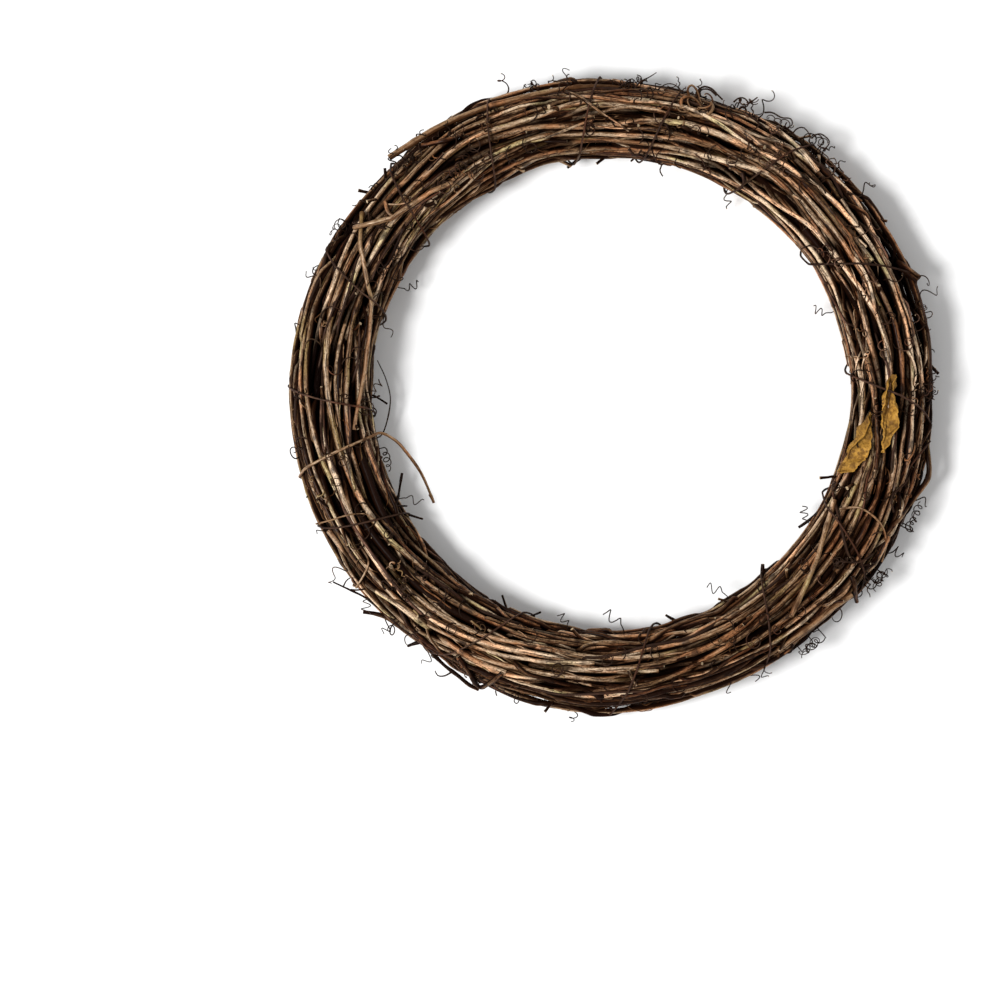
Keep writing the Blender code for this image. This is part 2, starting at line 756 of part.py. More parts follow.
def grow_shoots(bundle, draw):
    """Joins one stub or tendril in each sector of the ring to the cane that it grows from."""
    neighbours = Neighbours()
    spots = exposed_spots(bundle, draw)
    shoots = {}
    for sector in range(SHOOT_SECTORS):
        make = tendril_path if sector % SECTOR_CYCLE in TENDRIL_SECTORS else stub_path
        for spot in spots:
            if int(spot.theta % FULL_TURN / FULL_TURN * SHOOT_SECTORS) != sector:
                continue
            points, radii, sides, outs = make(spot, draw)
            roomy = round_rings(points, [r + GAP for r in radii], sides, outs)
            if within_reach(points) and not neighbours.touched(roomy, spot.cane):
                rings = round_rings(points, radii, sides, outs)
                neighbours.add(rings, spot.cane)
                shoots.setdefault(spot.cane, []).append(rings)
                break
    for name, grown in shoots.items():
        join_to(bpy.data.objects[name], grown)


def join_to(cane, grown):
    """One Boolean union of a cane and all that grows from it."""
    collection = bpy.data.collections.new(f"shoots of {cane.name}")
    bpy.context.scene.collection.children.link(collection)
    for n, rings in enumerate(grown):
        shoot = tube_object(f"{cane.name}_shoot_{n + 1}", rings)
        bpy.context.scene.collection.objects.unlink(shoot)
        collection.objects.link(shoot)
    union = cane.modifiers.new("Shoots", "BOOLEAN")
    union.operation = "UNION"
    union.operand_type = "COLLECTION"
    union.collection = collection
    union.solver = "EXACT"
    bake_modifiers(cane)
    for shoot in list(collection.objects):
        bpy.data.objects.remove(shoot)
    bpy.data.collections.remove(collection)


def set_on_surface():
    """Raises the wreath to stand on z = 0, with the undersides of the ties that it stands on pressed flat."""
    heights = {obj: np.array([v.co for v in obj.data.vertices]) for obj in bpy.data.objects}
    floor = min(points[:, 2].min() for points in heights.values()) + FOOT_FLATTENED
    for obj, points in heights.items():
        points[:, 2] = np.maximum(points[:, 2] - floor, 0)
        obj.data.vertices.foreach_set("co", points.astype(np.float32).ravel())
        obj.data.update()


def bark_material(kind):
    material = bpy.data.materials.new(kind)
    material.use_nodes = True
    shader = material.node_tree.nodes["Principled BSDF"]
    shader.inputs["Base Color"].default_value = (*BARK[kind], 1)
    shader.inputs["Roughness"].default_value = BARK_ROUGHNESS
    return material


def finish_objects():
    """Gives each kind of piece its material, and the round ones smooth sides."""
    materials = {kind: bark_material(kind) for kind in BARK}
    for obj in bpy.data.objects:
        kind = next(k for k in BARK if obj.name.startswith(k))
        obj.data.materials.clear()
        obj.data.materials.append(materials[kind])
        if kind != "leaf":
            obj.data.shade_smooth()
            obj.data.set_sharp_from_angle(angle=SHARP_ANGLE)


def main():
    for obj in list(bpy.data.objects):
        bpy.data.objects.remove(obj)
    draw = random.Random(SEED)
    packing = Packing(wound_strands(draw) + [loose_strand(cane) for cane in LOOSE_CANES])
    packing.ease()
    if packing.tightest() < LEAST_CLEARANCE:
        raise RuntimeError("the canes could not be eased apart: try fewer or thinner ones")
    bundle = Bundle(packing)
    make_canes(packing, draw)
    for stick in CROSSING_STICKS:
        lay_stick(bundle, stick)
    for leaf in LEAVES:
        lay_leaf(bundle, leaf)
    wrap_vines(bundle)
    grow_shoots(bundle, draw)
    set_on_surface()
    finish_objects()


main()
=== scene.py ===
"""Dresses the frame of a grapevine wreath: barked canes, curled tendrils, broken twigs and dry leaves.

The frame's canes are plain tubes. The line down the middle of each is read from its corners, and a finer stem
with bark and knuckles is swept along it. Thin runners, tendrils and twigs are then laid over the stems.
"""

import math
import random
from collections import namedtuple

import bmesh
import bpy
from bpy.props import FloatProperty, FloatVectorProperty, IntProperty, PointerProperty
from bpy.types import Operator, Panel, PropertyGroup
from mathutils import Matrix, Vector, noise
from mathutils.bvhtree import BVHTree


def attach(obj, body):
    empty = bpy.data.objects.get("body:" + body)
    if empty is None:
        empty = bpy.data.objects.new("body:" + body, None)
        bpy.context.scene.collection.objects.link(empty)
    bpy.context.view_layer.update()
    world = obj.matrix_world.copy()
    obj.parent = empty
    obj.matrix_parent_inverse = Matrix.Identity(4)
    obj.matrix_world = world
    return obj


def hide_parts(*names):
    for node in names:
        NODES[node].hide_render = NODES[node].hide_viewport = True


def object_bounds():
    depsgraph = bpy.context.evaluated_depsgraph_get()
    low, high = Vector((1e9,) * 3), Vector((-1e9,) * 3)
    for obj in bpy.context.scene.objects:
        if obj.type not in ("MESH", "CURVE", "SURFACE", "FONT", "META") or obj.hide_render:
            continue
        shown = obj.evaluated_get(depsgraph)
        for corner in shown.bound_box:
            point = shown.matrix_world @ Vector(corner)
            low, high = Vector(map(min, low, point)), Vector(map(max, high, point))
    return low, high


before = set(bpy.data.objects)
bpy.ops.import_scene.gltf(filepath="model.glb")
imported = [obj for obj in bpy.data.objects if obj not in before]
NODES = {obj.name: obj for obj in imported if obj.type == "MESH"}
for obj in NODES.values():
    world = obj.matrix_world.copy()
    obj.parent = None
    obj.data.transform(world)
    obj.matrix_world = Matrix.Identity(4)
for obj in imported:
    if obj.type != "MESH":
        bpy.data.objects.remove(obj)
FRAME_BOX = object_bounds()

bl_info = {
    "name": "Grapevine Wreath",
    "version": (1, 0, 0),
    "blender": (4, 5, 0),
    "location": "View3D > Sidebar > Wreath",
    "description": "Sweeps barked stems along a wreath's canes and lays tendrils, twigs and leaves over them",
    "category": "Object",
}

BODY = "root"
FULL_TURN = 2 * math.pi
UP = Vector((0, 0, 1))
MM = 0.001

# The frame's canes have a ring of corners in each of this many half planes round the ring's axis
STATIONS = 27

# How near a corner is to a half plane, in stations, and to another corner, to count as at it. How near a fold
# is to flat, in radians, and how near a face's sides are to even
ON_STATION = 0.0005
SAME_CORNER = 0.000002
FLAT_WITHIN = 0.002
EVEN_WITHIN = 0.003

# The frame's tendrils have this many sides, and its other stems have more
TENDRIL_SIDES = 3

# The photograph's frame: pixels, metres to a pixel, and the pixel that the ring's axis is at
PICTURE_SIDE = 1000
PIXEL = 0.0004826
AXIS_PIXEL = (610, 393)

# The middle line of the wound bundle, half the band's width in plan, and a distance from the middle line that
# is outside everything
RING_RADIUS = 0.1335
RING_HEIGHT = 0.019
BAND_HALF_WIDTH = 0.0187
OUTSIDE = 0.08

# The bundle's outside is felt for on tubes with this many rings to a station and this many sides, and for a
# point's cover this far to either side of it, in radians round the section
TUBE_STEPS = 4
TUBE_SIDES = 8
COVER_REACH = 0.16

# The floor's reach to each side, and the key light's place and size
FLOOR_REACH = 3.0
KEY_PLACE = Vector((-0.64, -0.17, 1.0)) * 3.0
KEY_SIZE = 1.26

# One seed for the tones of each kind of stem
CANE_SEED = 3
STICK_SEED = 5
TIE_SEED = 6

# The stems' tones, where 0 is dark and 1 is pale. The inner canes are darker, as painted shade in the gaps
INNER_SHADED_TONES = (-0.9, -0.5)
OUTER_TONES = (0.15, 1.0)
STICK_TONES = (0.35, 0.9)
FREE_VINE_TONE = 0.75
SHOOT_TONE = 0.0

# How thick the stems are compared with the frame's tubes, which leave room for their knuckles
SLIM_CANE = 0.88
SLIM_TIE = 0.66
SLIM_TENDRIL = 0.55
SLIM_SHOOT = 0.6

# A shoot whose tip is further than this from its root is a slim, dark one
LONG_SHOOT = 0.009

# How far apart the rings of corners and the knuckles of other canes and of sticks lie, compared with an outer
# cane's. The inner canes hardly show, and have fewer corners to a ring
INNER_STEP = 2.5
INNER_SIDES = 8
BOWED_STEP = 0.8
STICK_STEP = 0.6
STICK_KNUCKLES = 0.7

# How finely each kind of thin stem is made
TIE_LOOK = {"step": 0.0012, "sides": 8, "knuckle_spacing": 0.03, "knuckle_swelling": 0.25, "waver": 0.0001}
DEEP_LOOK = {"step": 0.002, "sides": 6, "knuckle_spacing": 0.03, "knuckle_swelling": 0.25, "waver": 0.0001}
SHRED_LOOK = {"step": 0.001, "sides": 5, "knuckle_swelling": 0.0, "waver": 0.0, "relief": 0.1}
TENDRIL_LOOK = {"step": 0.0008, "sides": 5, "knuckle_swelling": 0.0, "waver": 0.0, "relief": 0.1}
TWIG_LOOK = {"step": 0.001, "sides": 8, "knuckle_spacing": 0.012, "knuckle_swelling": 0.3, "waver": 0.0002}

# Stems laid along the bundle, all round it: the angle that each spans, how far it drifts round the section in
# degrees, its radius, and how many radii it lies above the canes' surface
Layer = namedtuple("Layer", "span drift radius lift")
THIN_LAYER = Layer((0.35, 1.3), 45, (0.0005, 0.0012), 0.3)
DEEP_LAYER = Layer((0.8, 2.4), 35, (0.0008, 0.0014), -1.6)
SHRED_LAYER = Layer((0.05, 0.2), 12, (0.0002, 0.0004), 0.6)
LAYER_LEANS = (-15, 195)

# A thin runner with a smaller radius than this is a dark vine
DARK_BELOW = 0.00075

# How a runner goes: the spacing of its points and the fewest steps, how deep its ends are tucked in, how many
# waves it has and how wide they are, in radians of lean to a radian of span. Its ends are tucked in, and its
# height is evened out, over so many points to each side
RUNNER_STEP = 0.0022
RUNNER_FEWEST = 8
RUNNER_TUCK = 0.0045
RUNNER_WAVES = (1.2, 2.6)
RUNNER_SWING = 0.09
RUNNER_REACH = 2

# How a tendril curls: its radius, its length, the radius of its bends where it starts and where it ends, how
# far the coils stand apart, how steeply it rises, and whether its coils face outwards (1) or upwards (0)
Curl = namedtuple("Curl", "radius length opened wound pitch rise facing")
RIM_CURL = Curl(0.00040, (0.009, 0.018), (0.0022, 0.0042), (0.0010, 0.0019), (0.3, 1.2), 0.25, 0.3)
SNARL_CURL = Curl(0.00040, (0.010, 0.018), (0.0014, 0.0024), (0.0007, 0.0012), (0.4, 1.2), 0.4, 0.3)
KNOT_CURL = Curl(0.0006, (0.012, 0.020), (0.004, 0.006), (0.0020, 0.0032), (0.1, 0.5), 0.05, 1.0)
FLAT_CURL = Curl(0.00038, (0.012, 0.034), (0.004, 0.008), (0.0009, 0.0020), (0.15, 0.7), 0.15, 1.0)

# A curl's points stand this far apart, its root lies this deep, and it starts off this much along the canes.
# Its bends tighten with this power of the way, its axis is scattered and, by this chance at each point, turned
# elsewhere, and its tip is thinner than its root
CURL_STEP = 0.0007
CURL_ROOT = 0.001
CURL_FORWARD = (0.5, 1)
CURL_TIGHTENING = 0.6
CURL_SCATTER = 0.5
CURL_CHANGES = 0.035
CURL_CHANGE = 0.9
CURL_TAPER = 0.6

# How a tendril winds in loops: its radius, the radius of the loops, and how far it moves on with each
Coil = namedtuple("Coil", "radius loop advance")
RIM_COIL = Coil(0.00031, (0.0012, 0.0023), (0.0026, 0.0052))

# A coil has at least this many loops, tilted and scattered by so much. They swell by a share with a beat of
# their own, narrow towards the tip, and stand so high over the canes
COIL_FEWEST = 1.2
COIL_TILT = 0.5
COIL_SCATTER = 0.4
COIL_SWELLING = 0.3
COIL_BEAT = 1.7
COIL_NARROWING = 0.35
COIL_TAPER = 0.7
COIL_LIFT = (0.0, 0.003)

# A tendril's middle keeps this share of its radius off the canes
TENDRIL_CLEARANCE = 0.6

# A broken twig: how it leans on the section in degrees, its length and radius, how steeply it rises, how much
# it is scattered and bowed, its steps, and how thick its tip is compared with its root
TWIG_LEANS = (-30, 205)
TWIG_LENGTH = (0.004, 0.012)
TWIG_RADIUS = (0.0006, 0.0011)
TWIG_RISE = (0.25, 0.9)
TWIG_SCATTER = 0.25
TWIG_BOW = 0.18
TWIG_STEPS = 5
TWIG_TAPER = 0.72

# The spacing of a pictured vine's points and the fewest steps, and how many radii above the canes the middle
# of a pictured cane lies, because it is half sunk in between them
PICTURED_STEP = 0.0015
PICTURED_FEWEST = 6
SUNK_SHARE = 0.1

# The lowest that a tendril is laid, and how far a stem may stand out of the frame's box sideways
LOWEST = 0.0006
PROUD = 0.008

# A clump's coils start and end at these shares of the way along it, and up to so many pixels beside it
COIL_STARTS = (-0.1, 0.4)
COIL_ENDS = (0.6, 1.1)
CLUMP_SCATTER = 3

# A clump's curls spring from a little beyond its ends, in radians round the ring and round the section. Its
# pixels count as no further out than this share of the band's half width
CLUMP_TURN_MARGIN = 0.01
CLUMP_LEAN_MARGIN = 0.2
FURTHEST_OUT = 0.97

# The tendrils all over the bundle spring from between these leans, in degrees
LOOSE_LEANS = (-5, 142)

# The clumps of tendrils along the outline in the photograph, from one pixel to another, and how many
Clump = namedtuple("Clump", "start end number")
CLUMPS = (
    Clump((519, 91), (545, 84), 2),
    Clump((473, 119), (498, 108), 2),
    Clump((432, 142), (446, 133), 1),
    Clump((401, 164), (413, 156), 2),
    Clump((366, 196), (376, 186), 1),
    Clump((333, 232), (346, 222), 1),
    Clump((596, 86), (618, 83), 1),
    Clump((619, 86), (655, 80), 2),
    Clump((657, 87), (680, 86), 1),
    Clump((737, 101), (763, 103), 2),
    Clump((763, 112), (792, 128), 1),
    Clump((796, 131), (829, 146), 2),
    Clump((917, 302), (931, 319), 2),
    Clump((926, 333), (931, 347), 1),
    Clump((922, 385), (925, 404), 2),
    Clump((918, 506), (908, 531), 2),
    Clump((890, 566), (872, 588), 3),
    Clump((820, 638), (798, 656), 3),
    Clump((507, 694), (517, 703), 1),
    Clump((372, 385), (378, 408), 1),
    Clump((380, 440), (388, 470), 1),
    Clump((645, 156), (668, 166), 1),
)

# Tight snarls of dark tendrils on the bundle
SNARLS = (
    Clump((632, 81), (641, 82), 4),
    Clump((676, 88), (680, 88), 2),
    Clump((752, 99), (759, 102), 6),
    Clump((788, 120), (792, 125), 2),
    Clump((816, 137), (828, 144), 3),
    Clump((914, 388), (924, 402), 7),
    Clump((596, 116), (604, 126), 3),
    Clump((740, 152), (760, 158), 3),
    Clump((838, 166), (848, 176), 4),
    Clump((700, 88), (714, 93), 4),
    Clump((400, 590), (412, 598), 4),
    Clump((466, 672), (478, 680), 4),
    Clump((352, 446), (358, 456), 2),
    Clump((400, 526), (408, 536), 3),
    Clump((420, 566), (430, 576), 3),
    Clump((400, 150), (410, 172), 3),
    Clump((661, 128), (668, 138), 3),
    Clump((752, 150), (762, 160), 3),
    Clump((866, 300), (874, 312), 3),
)

# The knot of thick, pale tendrils at the top, and snarls of pale ones elsewhere
KNOT = Clump((684, 98), (706, 112), 6)
PALE_SNARLS = (
    Clump((911, 386), (922, 390), 3),
    Clump((898, 490), (908, 496), 3),
    Clump((905, 462), (915, 470), 2),
    Clump((848, 350), (858, 362), 3),
    Clump((722, 640), (740, 648), 3),
    Clump((788, 618), (800, 628), 2),
    Clump((322, 318), (330, 326), 2),
    Clump((398, 560), (408, 574), 3),
    Clump((306, 482), (318, 492), 3),
    Clump((326, 494), (336, 502), 2),
    Clump((436, 160), (448, 168), 3),
    Clump((484, 127), (496, 135), 3),
    Clump((464, 173), (480, 190), 3),
    Clump((853, 248), (861, 258), 2),
)

# Vines and twigs that the photograph shows one by one, as pixels that each passes through. Level is the
# height where nothing lies under it, and taper is how thick the tip is compared with the root
Pictured = namedtuple("Pictured", "kind radius taper tone level pixels")
PICTURED = (
    Pictured("twig", 0.0012, 0.9, 0.45, 0.024, ((422, 147), (446, 142), (464, 136))),
    Pictured("vine", 0.0004, 0.7, 0.20, 0.022, ((420, 136), (419, 147), (422, 156))),
    Pictured("pale vine", 0.0005, 0.8, 0.95, 0.020, ((388, 206), (401, 206), (413, 202))),
    Pictured("twig", 0.0011, 0.8, 0.70, 0.020, ((386, 203), (389, 214), (395, 219))),
    Pictured("vine", 0.0006, 0.8, 0.20, 0.020, ((369, 214), (372, 224), (387, 231))),
    Pictured("vine", 0.0003, 0.7, 0.10, 0.026, ((590, 89), (600, 84), (611, 81), (617, 83), (621, 89))),
    Pictured("vine", 0.0003, 0.7, 0.15, 0.026, ((617, 90), (626, 83), (632, 80), (637, 86))),
    Pictured("vine", 0.0004, 0.5, 0.15, 0.028, ((634, 90), (640, 83), (648, 79), (656, 74))),
    Pictured("vine", 0.0003, 0.7, 0.10, 0.026, ((656, 92), (664, 86), (671, 85), (677, 88), (680, 94))),
    Pictured("twig", 0.0009, 0.5, 0.85, 0.030, ((565, 93), (578, 98), (594, 110), (610, 121), (628, 133))),
    Pictured(
        "pale vine", 0.0009, 0.7, 0.35, 0.028,
        ((710, 104), (712, 110), (706, 117), (697, 118), (686, 114), (680, 106)),
    ),
    Pictured(
        "pale vine", 0.0009, 0.5, 0.25, 0.029,
        ((680, 108), (681, 101), (689, 98), (697, 103), (700, 110), (693, 113)),
    ),
    Pictured(
        "pale vine", 0.0007, 0.5, 0.30, 0.030,
        ((689, 99), (687, 91), (691, 87), (696, 92), (699, 101), (703, 111)),
    ),
    Pictured(
        "vine", 0.0006, 0.7, 0.20, 0.027,
        ((694, 102), (697, 93), (703, 88), (711, 90), (717, 96), (722, 101)),
    ),
    Pictured("vine", 0.0005, 0.7, 0.10, 0.027, ((716, 97), (709, 91), (701, 91), (698, 98), (704, 104))),
    Pictured(
        "vine", 0.0004, 0.7, 0.10, 0.024,
        ((733, 103), (738, 99), (744, 99), (749, 104), (753, 101), (757, 98)),
    ),
    Pictured(
        "vine", 0.0004, 0.7, 0.10, 0.022,
        ((764, 113), (772, 113), (781, 118), (790, 119), (792, 125), (787, 128)),
    ),
    Pictured("vine", 0.0004, 0.7, 0.10, 0.022, ((793, 133), (797, 129), (803, 128), (808, 133), (810, 139))),
    Pictured(
        "vine", 0.0004, 0.7, 0.10, 0.022,
        ((811, 139), (816, 135), (822, 135), (829, 142), (824, 149), (817, 145)),
    ),
    Pictured("vine", 0.0009, 0.6, 0.10, 0.014, ((741, 174), (743, 183), (740, 189), (734, 191))),
    Pictured("vine", 0.0005, 0.6, 0.15, 0.016, ((822, 256), (814, 248), (806, 247), (800, 250))),
    Pictured("twig", 0.0014, 0.9, 0.25, 0.020, ((896, 262), (905, 268), (919, 278))),
    Pictured("twig", 0.0013, 0.9, 0.20, 0.017, ((897, 268), (906, 273), (916, 282))),
    Pictured("pale vine", 0.0007, 0.8, 1.20, 0.022, ((905, 351), (911, 362), (914, 374), (912, 386))),
    Pictured(
        "pale vine", 0.0006, 0.8, 0.60, 0.020,
        ((905, 437), (902, 455), (905, 461), (912, 452), (913, 443)),
    ),
    Pictured("vine", 0.0006, 0.8, 0.60, 0.020, ((904, 487), (908, 468), (930, 441))),
    Pictured("cane", 0.0014, 0.9, 0.75, 0.018, ((926, 440), (929, 474), (917, 494), (899, 517), (884, 535))),
    Pictured(
        "cane", 0.0011, 0.9, 0.30, 0.030,
        ((866, 352), (871, 376), (874, 396), (875, 425), (876, 442), (874, 470)),
    ),
    Pictured(
        "cane", 0.0015, 0.9, 0.95, 0.024,
        ((735, 111), (750, 116), (768, 126), (785, 138), (800, 153), (816, 173)),
    ),
    Pictured("cane", 0.0014, 0.9, 0.85, 0.030, ((700, 118), (716, 122), (731, 127), (746, 137), (762, 150))),
    Pictured("cane", 0.0018, 0.9, 0.80, 0.030, ((330, 530), (347, 553), (361, 572), (370, 586))),
    Pictured(
        "cane", 0.0019, 0.8, 0.90, 0.030,
        ((366, 582), (376, 589), (400, 604), (426, 624), (450, 643), (477, 660), (506, 671)),
    ),
    Pictured("pale vine", 0.0005, 0.7, 1.30, 0.022, ((860, 352), (856, 362), (855, 374), (858, 388))),
    Pictured("pale vine", 0.0004, 0.7, 1.30, 0.022, ((864, 354), (861, 368), (862, 382), (859, 396))),
    Pictured(
        "pale vine", 0.0006, 0.8, 0.85, 0.024,
        ((838, 509), (858, 508), (878, 523), (885, 543), (881, 562)),
    ),
    Pictured("vine", 0.0008, 0.9, 0.25, 0.024, ((832, 492), (838, 521), (845, 550), (851, 561))),
    Pictured("vine", 0.0006, 0.8, 0.35, 0.024, ((832, 570), (838, 561), (856, 562), (872, 553), (874, 546))),
    Pictured("vine", 0.0005, 0.8, 0.15, 0.020, ((892, 512), (890, 497), (905, 481), (912, 467))),
    Pictured("twig", 0.0012, 0.8, 0.60, 0.014, ((850, 576), (853, 584), (854, 592), (857, 602))),
    Pictured("twig", 0.0008, 0.8, 0.85, 0.020, ((628, 669), (631, 677), (636, 685))),
    Pictured("vine", 0.0004, 0.6, 0.05, 0.012, ((372, 440), (383, 432), (390, 402), (386, 380), (377, 360))),
    Pictured("twig", 0.0006, 1.1, 0.05, 0.014, ((394, 509), (398, 498), (400, 485), (402, 473))),
    Pictured("twig", 0.0005, 0.8, 0.05, 0.014, ((393, 508), (399, 506), (407, 506))),
    Pictured("pale vine", 0.0011, 0.7, 0.60, 0.0188, ((430, 494), (432, 498), (434, 503))),
    Pictured(
        "pale vine", 0.0004, 0.8, 0.55, 0.024,
        ((316, 524), (332, 520), (349, 515), (366, 514), (378, 521)),
    ),
    Pictured("pale vine", 0.0006, 0.8, 0.80, 0.024, ((361, 546), (369, 560), (366, 572), (356, 588))),
    Pictured("pale vine", 0.0006, 0.8, 0.75, 0.024, ((414, 609), (425, 624), (430, 637), (440, 651))),
    Pictured("twig", 0.0007, 0.6, 0.15, 0.017, ((392, 620), (380, 609), (366, 598), (350, 590), (333, 582))),
    Pictured("twig", 0.0005, 0.8, 0.15, 0.016, ((351, 590), (357, 590), (365, 589))),
    Pictured("vine", 0.0004, 0.7, 0.10, 0.015, ((343, 587), (346, 581), (350, 578))),
    Pictured("twig", 0.0013, 0.8, 0.30, 0.017, ((404, 628), (388, 618), (376, 614), (363, 612))),
    Pictured(
        "vine", 0.0008, 0.8, 0.15, 0.020,
        ((415, 566), (448, 588), (463, 600), (482, 611), (521, 624), (541, 629)),
    ),
    Pictured(
        "twig", 0.0010, 0.9, 0.25, 0.015,
        ((420, 638), (433, 654), (445, 666), (458, 676), (469, 685), (479, 690)),
    ),
    Pictured("twig", 0.0012, 0.9, 0.25, 0.015, ((458, 656), (468, 670), (479, 687), (490, 682), (502, 672))),
    Pictured("vine", 0.0005, 0.6, 0.15, 0.015, ((452, 672), (445, 676), (438, 676), (435, 671))),
    Pictured(
        "vine", 0.0004, 0.8, 0.15, 0.016,
        ((651, 150), (653, 156), (656, 161), (662, 163), (660, 170), (663, 176)),
    ),
    Pictured("vine", 0.0006, 0.8, 0.20, 0.020, ((628, 150), (633, 155), (637, 156), (641, 151))),
)

# The dry leaves, from one end to the other as pixels. Each half of a leaf has so many millimetres of reach in
# plan, so many radians of curl, and a hem of so many millimetres beyond the curl, all at even steps along it
Half = namedtuple("Half", "reach curl hem")
Leaf = namedtuple("Leaf", "node start end left right")
LEAVES = (
    Leaf(
        node="leaf_1",
        start=(889, 375),
        end=(881, 453),
        left=Half(
            reach=(0.5, 2.9, 3.1, 2.9, 2.2, 1.4, 0.2),
            curl=(2.0, 2.4, 2.2, 1.7, 1.4, 1.2, 1.0),
            hem=(0, 0.6, 0.5, 0, 0, 0, 0),
        ),
        right=Half(
            reach=(2.4, 2.4, 3.1, 5.6, 5.9, 3.4, 0.2),
            curl=(1.6, 2.4, 2.1, 1.2, 0.8, 0.9, 1.0),
            hem=(0, 0.4, 0.3, 0, 0, 0, 0),
        ),
    ),
    Leaf(
        node="leaf_2",
        start=(869, 413),
        end=(837, 472),
        left=Half(
            reach=(0.2, 1.8, 2.0, 1.6, 1.0, 0.5, 0.3),
            curl=(1.4, 2.9, 3.0, 2.9, 2.2, 1.2, 0.8),
            hem=(0, 2.2, 2.8, 1.4, 0.2, 0, 0),
        ),
        right=Half(
            reach=(0.2, 3.2, 6.6, 8.8, 8.2, 7.4, 2.6),
            curl=(0.6, 0.6, 0.5, 0.6, 0.8, 0.9, 1.0),
            hem=(0, 0, 0, 0, 0, 0, 0),
        ),
    ),
)

# A leaf has this many faces along and across it, and it rests on the frame's leaf at this many places
LEAF_LONG_STEPS = 110
LEAF_WIDE_STEPS = 48
LEAF_ROWS = 10

# How deep a leaf's folds, crinkles, blisters, rib and veins are, and how high it lies over the frame's leaf
LEAF_FOLD = 0.0032
LEAF_CRINKLE = 0.0009
LEAF_BLISTER = 0.00035
LEAF_RIB = 0.0003
LEAF_VEIN = 0.0002
LEAF_LIFT = 0.0006

# Its edge is frayed by this share of its reach, in slow waves and in quick ones
LEAF_FRAYED = 0.05
FRAY_SLOW = 9
FRAY_QUICK = 31

# The veins that leave its rib: how many there are, and how far they slant towards its tip
VEIN_ROWS = 9.0
VEIN_SLANT = 0.16


# The frame's tubes, read back as lines

Way = namedtuple("Way", "points radii tone")


class Corners:
    """The corners of one of the frame's nodes, those that each shares an edge with, and the regular faces."""

    def __init__(self, node):
        mesh = bmesh.new()
        mesh.from_mesh(NODES[node].data)
        bmesh.ops.remove_doubles(mesh, verts=mesh.verts, dist=SAME_CORNER)
        mesh.verts.index_update()
        self.points = [v.co.copy() for v in mesh.verts]
        self.joined = self.neighbours(mesh)
        bmesh.ops.dissolve_limit(mesh, angle_limit=FLAT_WITHIN, verts=[], edges=mesh.edges)
        self.joined_by_folds = self.neighbours(mesh)
        faces = [[v.index for v in face.verts] for face in mesh.faces]
        self.regular = [face for face in faces if self.is_regular(face)]
        mesh.free()

    def neighbours(self, mesh):
        """For each corner, the corners that it shares an edge with."""
        return [[e.other_vert(v).index for e in v.link_edges] for v in mesh.verts]

    def middle(self, ring):
        return sum((self.points[i] for i in ring), Vector()) / len(ring)

    def radius(self, ring):
        centre = self.middle(ring)
        return sum((self.points[i] - centre).length for i in ring) / len(ring)

    def is_regular(self, face):
        """Whether a face has even sides, as the flat end of a stem has."""
        ahead = face[1:] + face[:1]
        sides = [(self.points[i] - self.points[j]).length for i, j in zip(face, ahead)]
        expected = 2 * self.radius(face) * math.sin(math.pi / len(face))
        return max(abs(side / expected - 1) for side in sides) < EVEN_WITHIN

    def clusters(self, members):
        """The members in groups that hang together along the edges."""
        left = set(members)
        found = []
        while left:
            group = [left.pop()]
            for i in group:
                near = [j for j in self.joined[i] if j in left]
                left.difference_update(near)
                group += near
            found.append(group)
        return found

    def station_rings(self):
        """The rings of corners where a cane passes through a station's half plane."""
        at_station = {}
        for i, p in enumerate(self.points):
            turn = math.atan2(p.y, p.x) / FULL_TURN * STATIONS
            if abs(turn - round(turn)) < ON_STATION:
                at_station.setdefault(round(turn) % STATIONS, []).append(i)
        return [ring for members in at_station.values() for ring in self.clusters(members)]

    def in_line(self, rings):
        """The same rings in the order that the cane passes through them."""
        ring_of = {i: n for n, ring in enumerate(rings) for i in ring}
        beside = []
        for n, ring in enumerate(rings):
            beside.append({ring_of[j] for i in ring for j in self.joined[i] if j in ring_of} - {n})
        order = [min(n for n, others in enumerate(beside) if len(others) == 1)]
        while ahead := beside[order[-1]] - set(order):
            order.append(ahead.pop())
        if len(order) != len(rings):
            raise RuntimeError(f"only {len(order)} of a cane's {len(rings)} rings hang together")
        return [rings[n] for n in order]

    def rings_from(self, end, free):
        """The rings met one after another from a stem's end face, through the corners that are still free."""
        rings = [end]
        left = set(free) - set(end)
        while True:
            beyond = [[j for j in self.joined_by_folds[i] if j in left] for i in rings[-1]]
            ahead = set().union(*beyond)
            if len(ahead) > len(end):
                ahead = {self.nearest(i, found) for i, found in zip(rings[-1], beyond) if found}
            if len(ahead) != len(end):
                return rings
            rings.append(sorted(ahead))
            left -= ahead

    def nearest(self, corner, others):
        return min(others, key=lambda j: (self.points[j] - self.points[corner]).length)

    def way(self, rings, tone):
        return Way([self.middle(r) for r in rings], [self.radius(r) for r in rings], tone)


Stem = namedtuple("Stem", "way stubs tendrils")


def read_cane(node, tone):
    """A wound cane, with the stubs and the tendrils that grow from it."""
    corners = Corners(node)
    rings = corners.in_line(corners.station_rings())
    in_rings = {i for ring in rings for i in ring}
    shoots = []
    for members in corners.clusters(set(range(len(corners.points))) - in_rings):
        ends = [face for face in corners.regular if set(face) <= set(members)]
        shoots.append(max((corners.rings_from(end, members) for end in ends), key=len))
    return sorted_stem(corners, rings, shoots, tone)


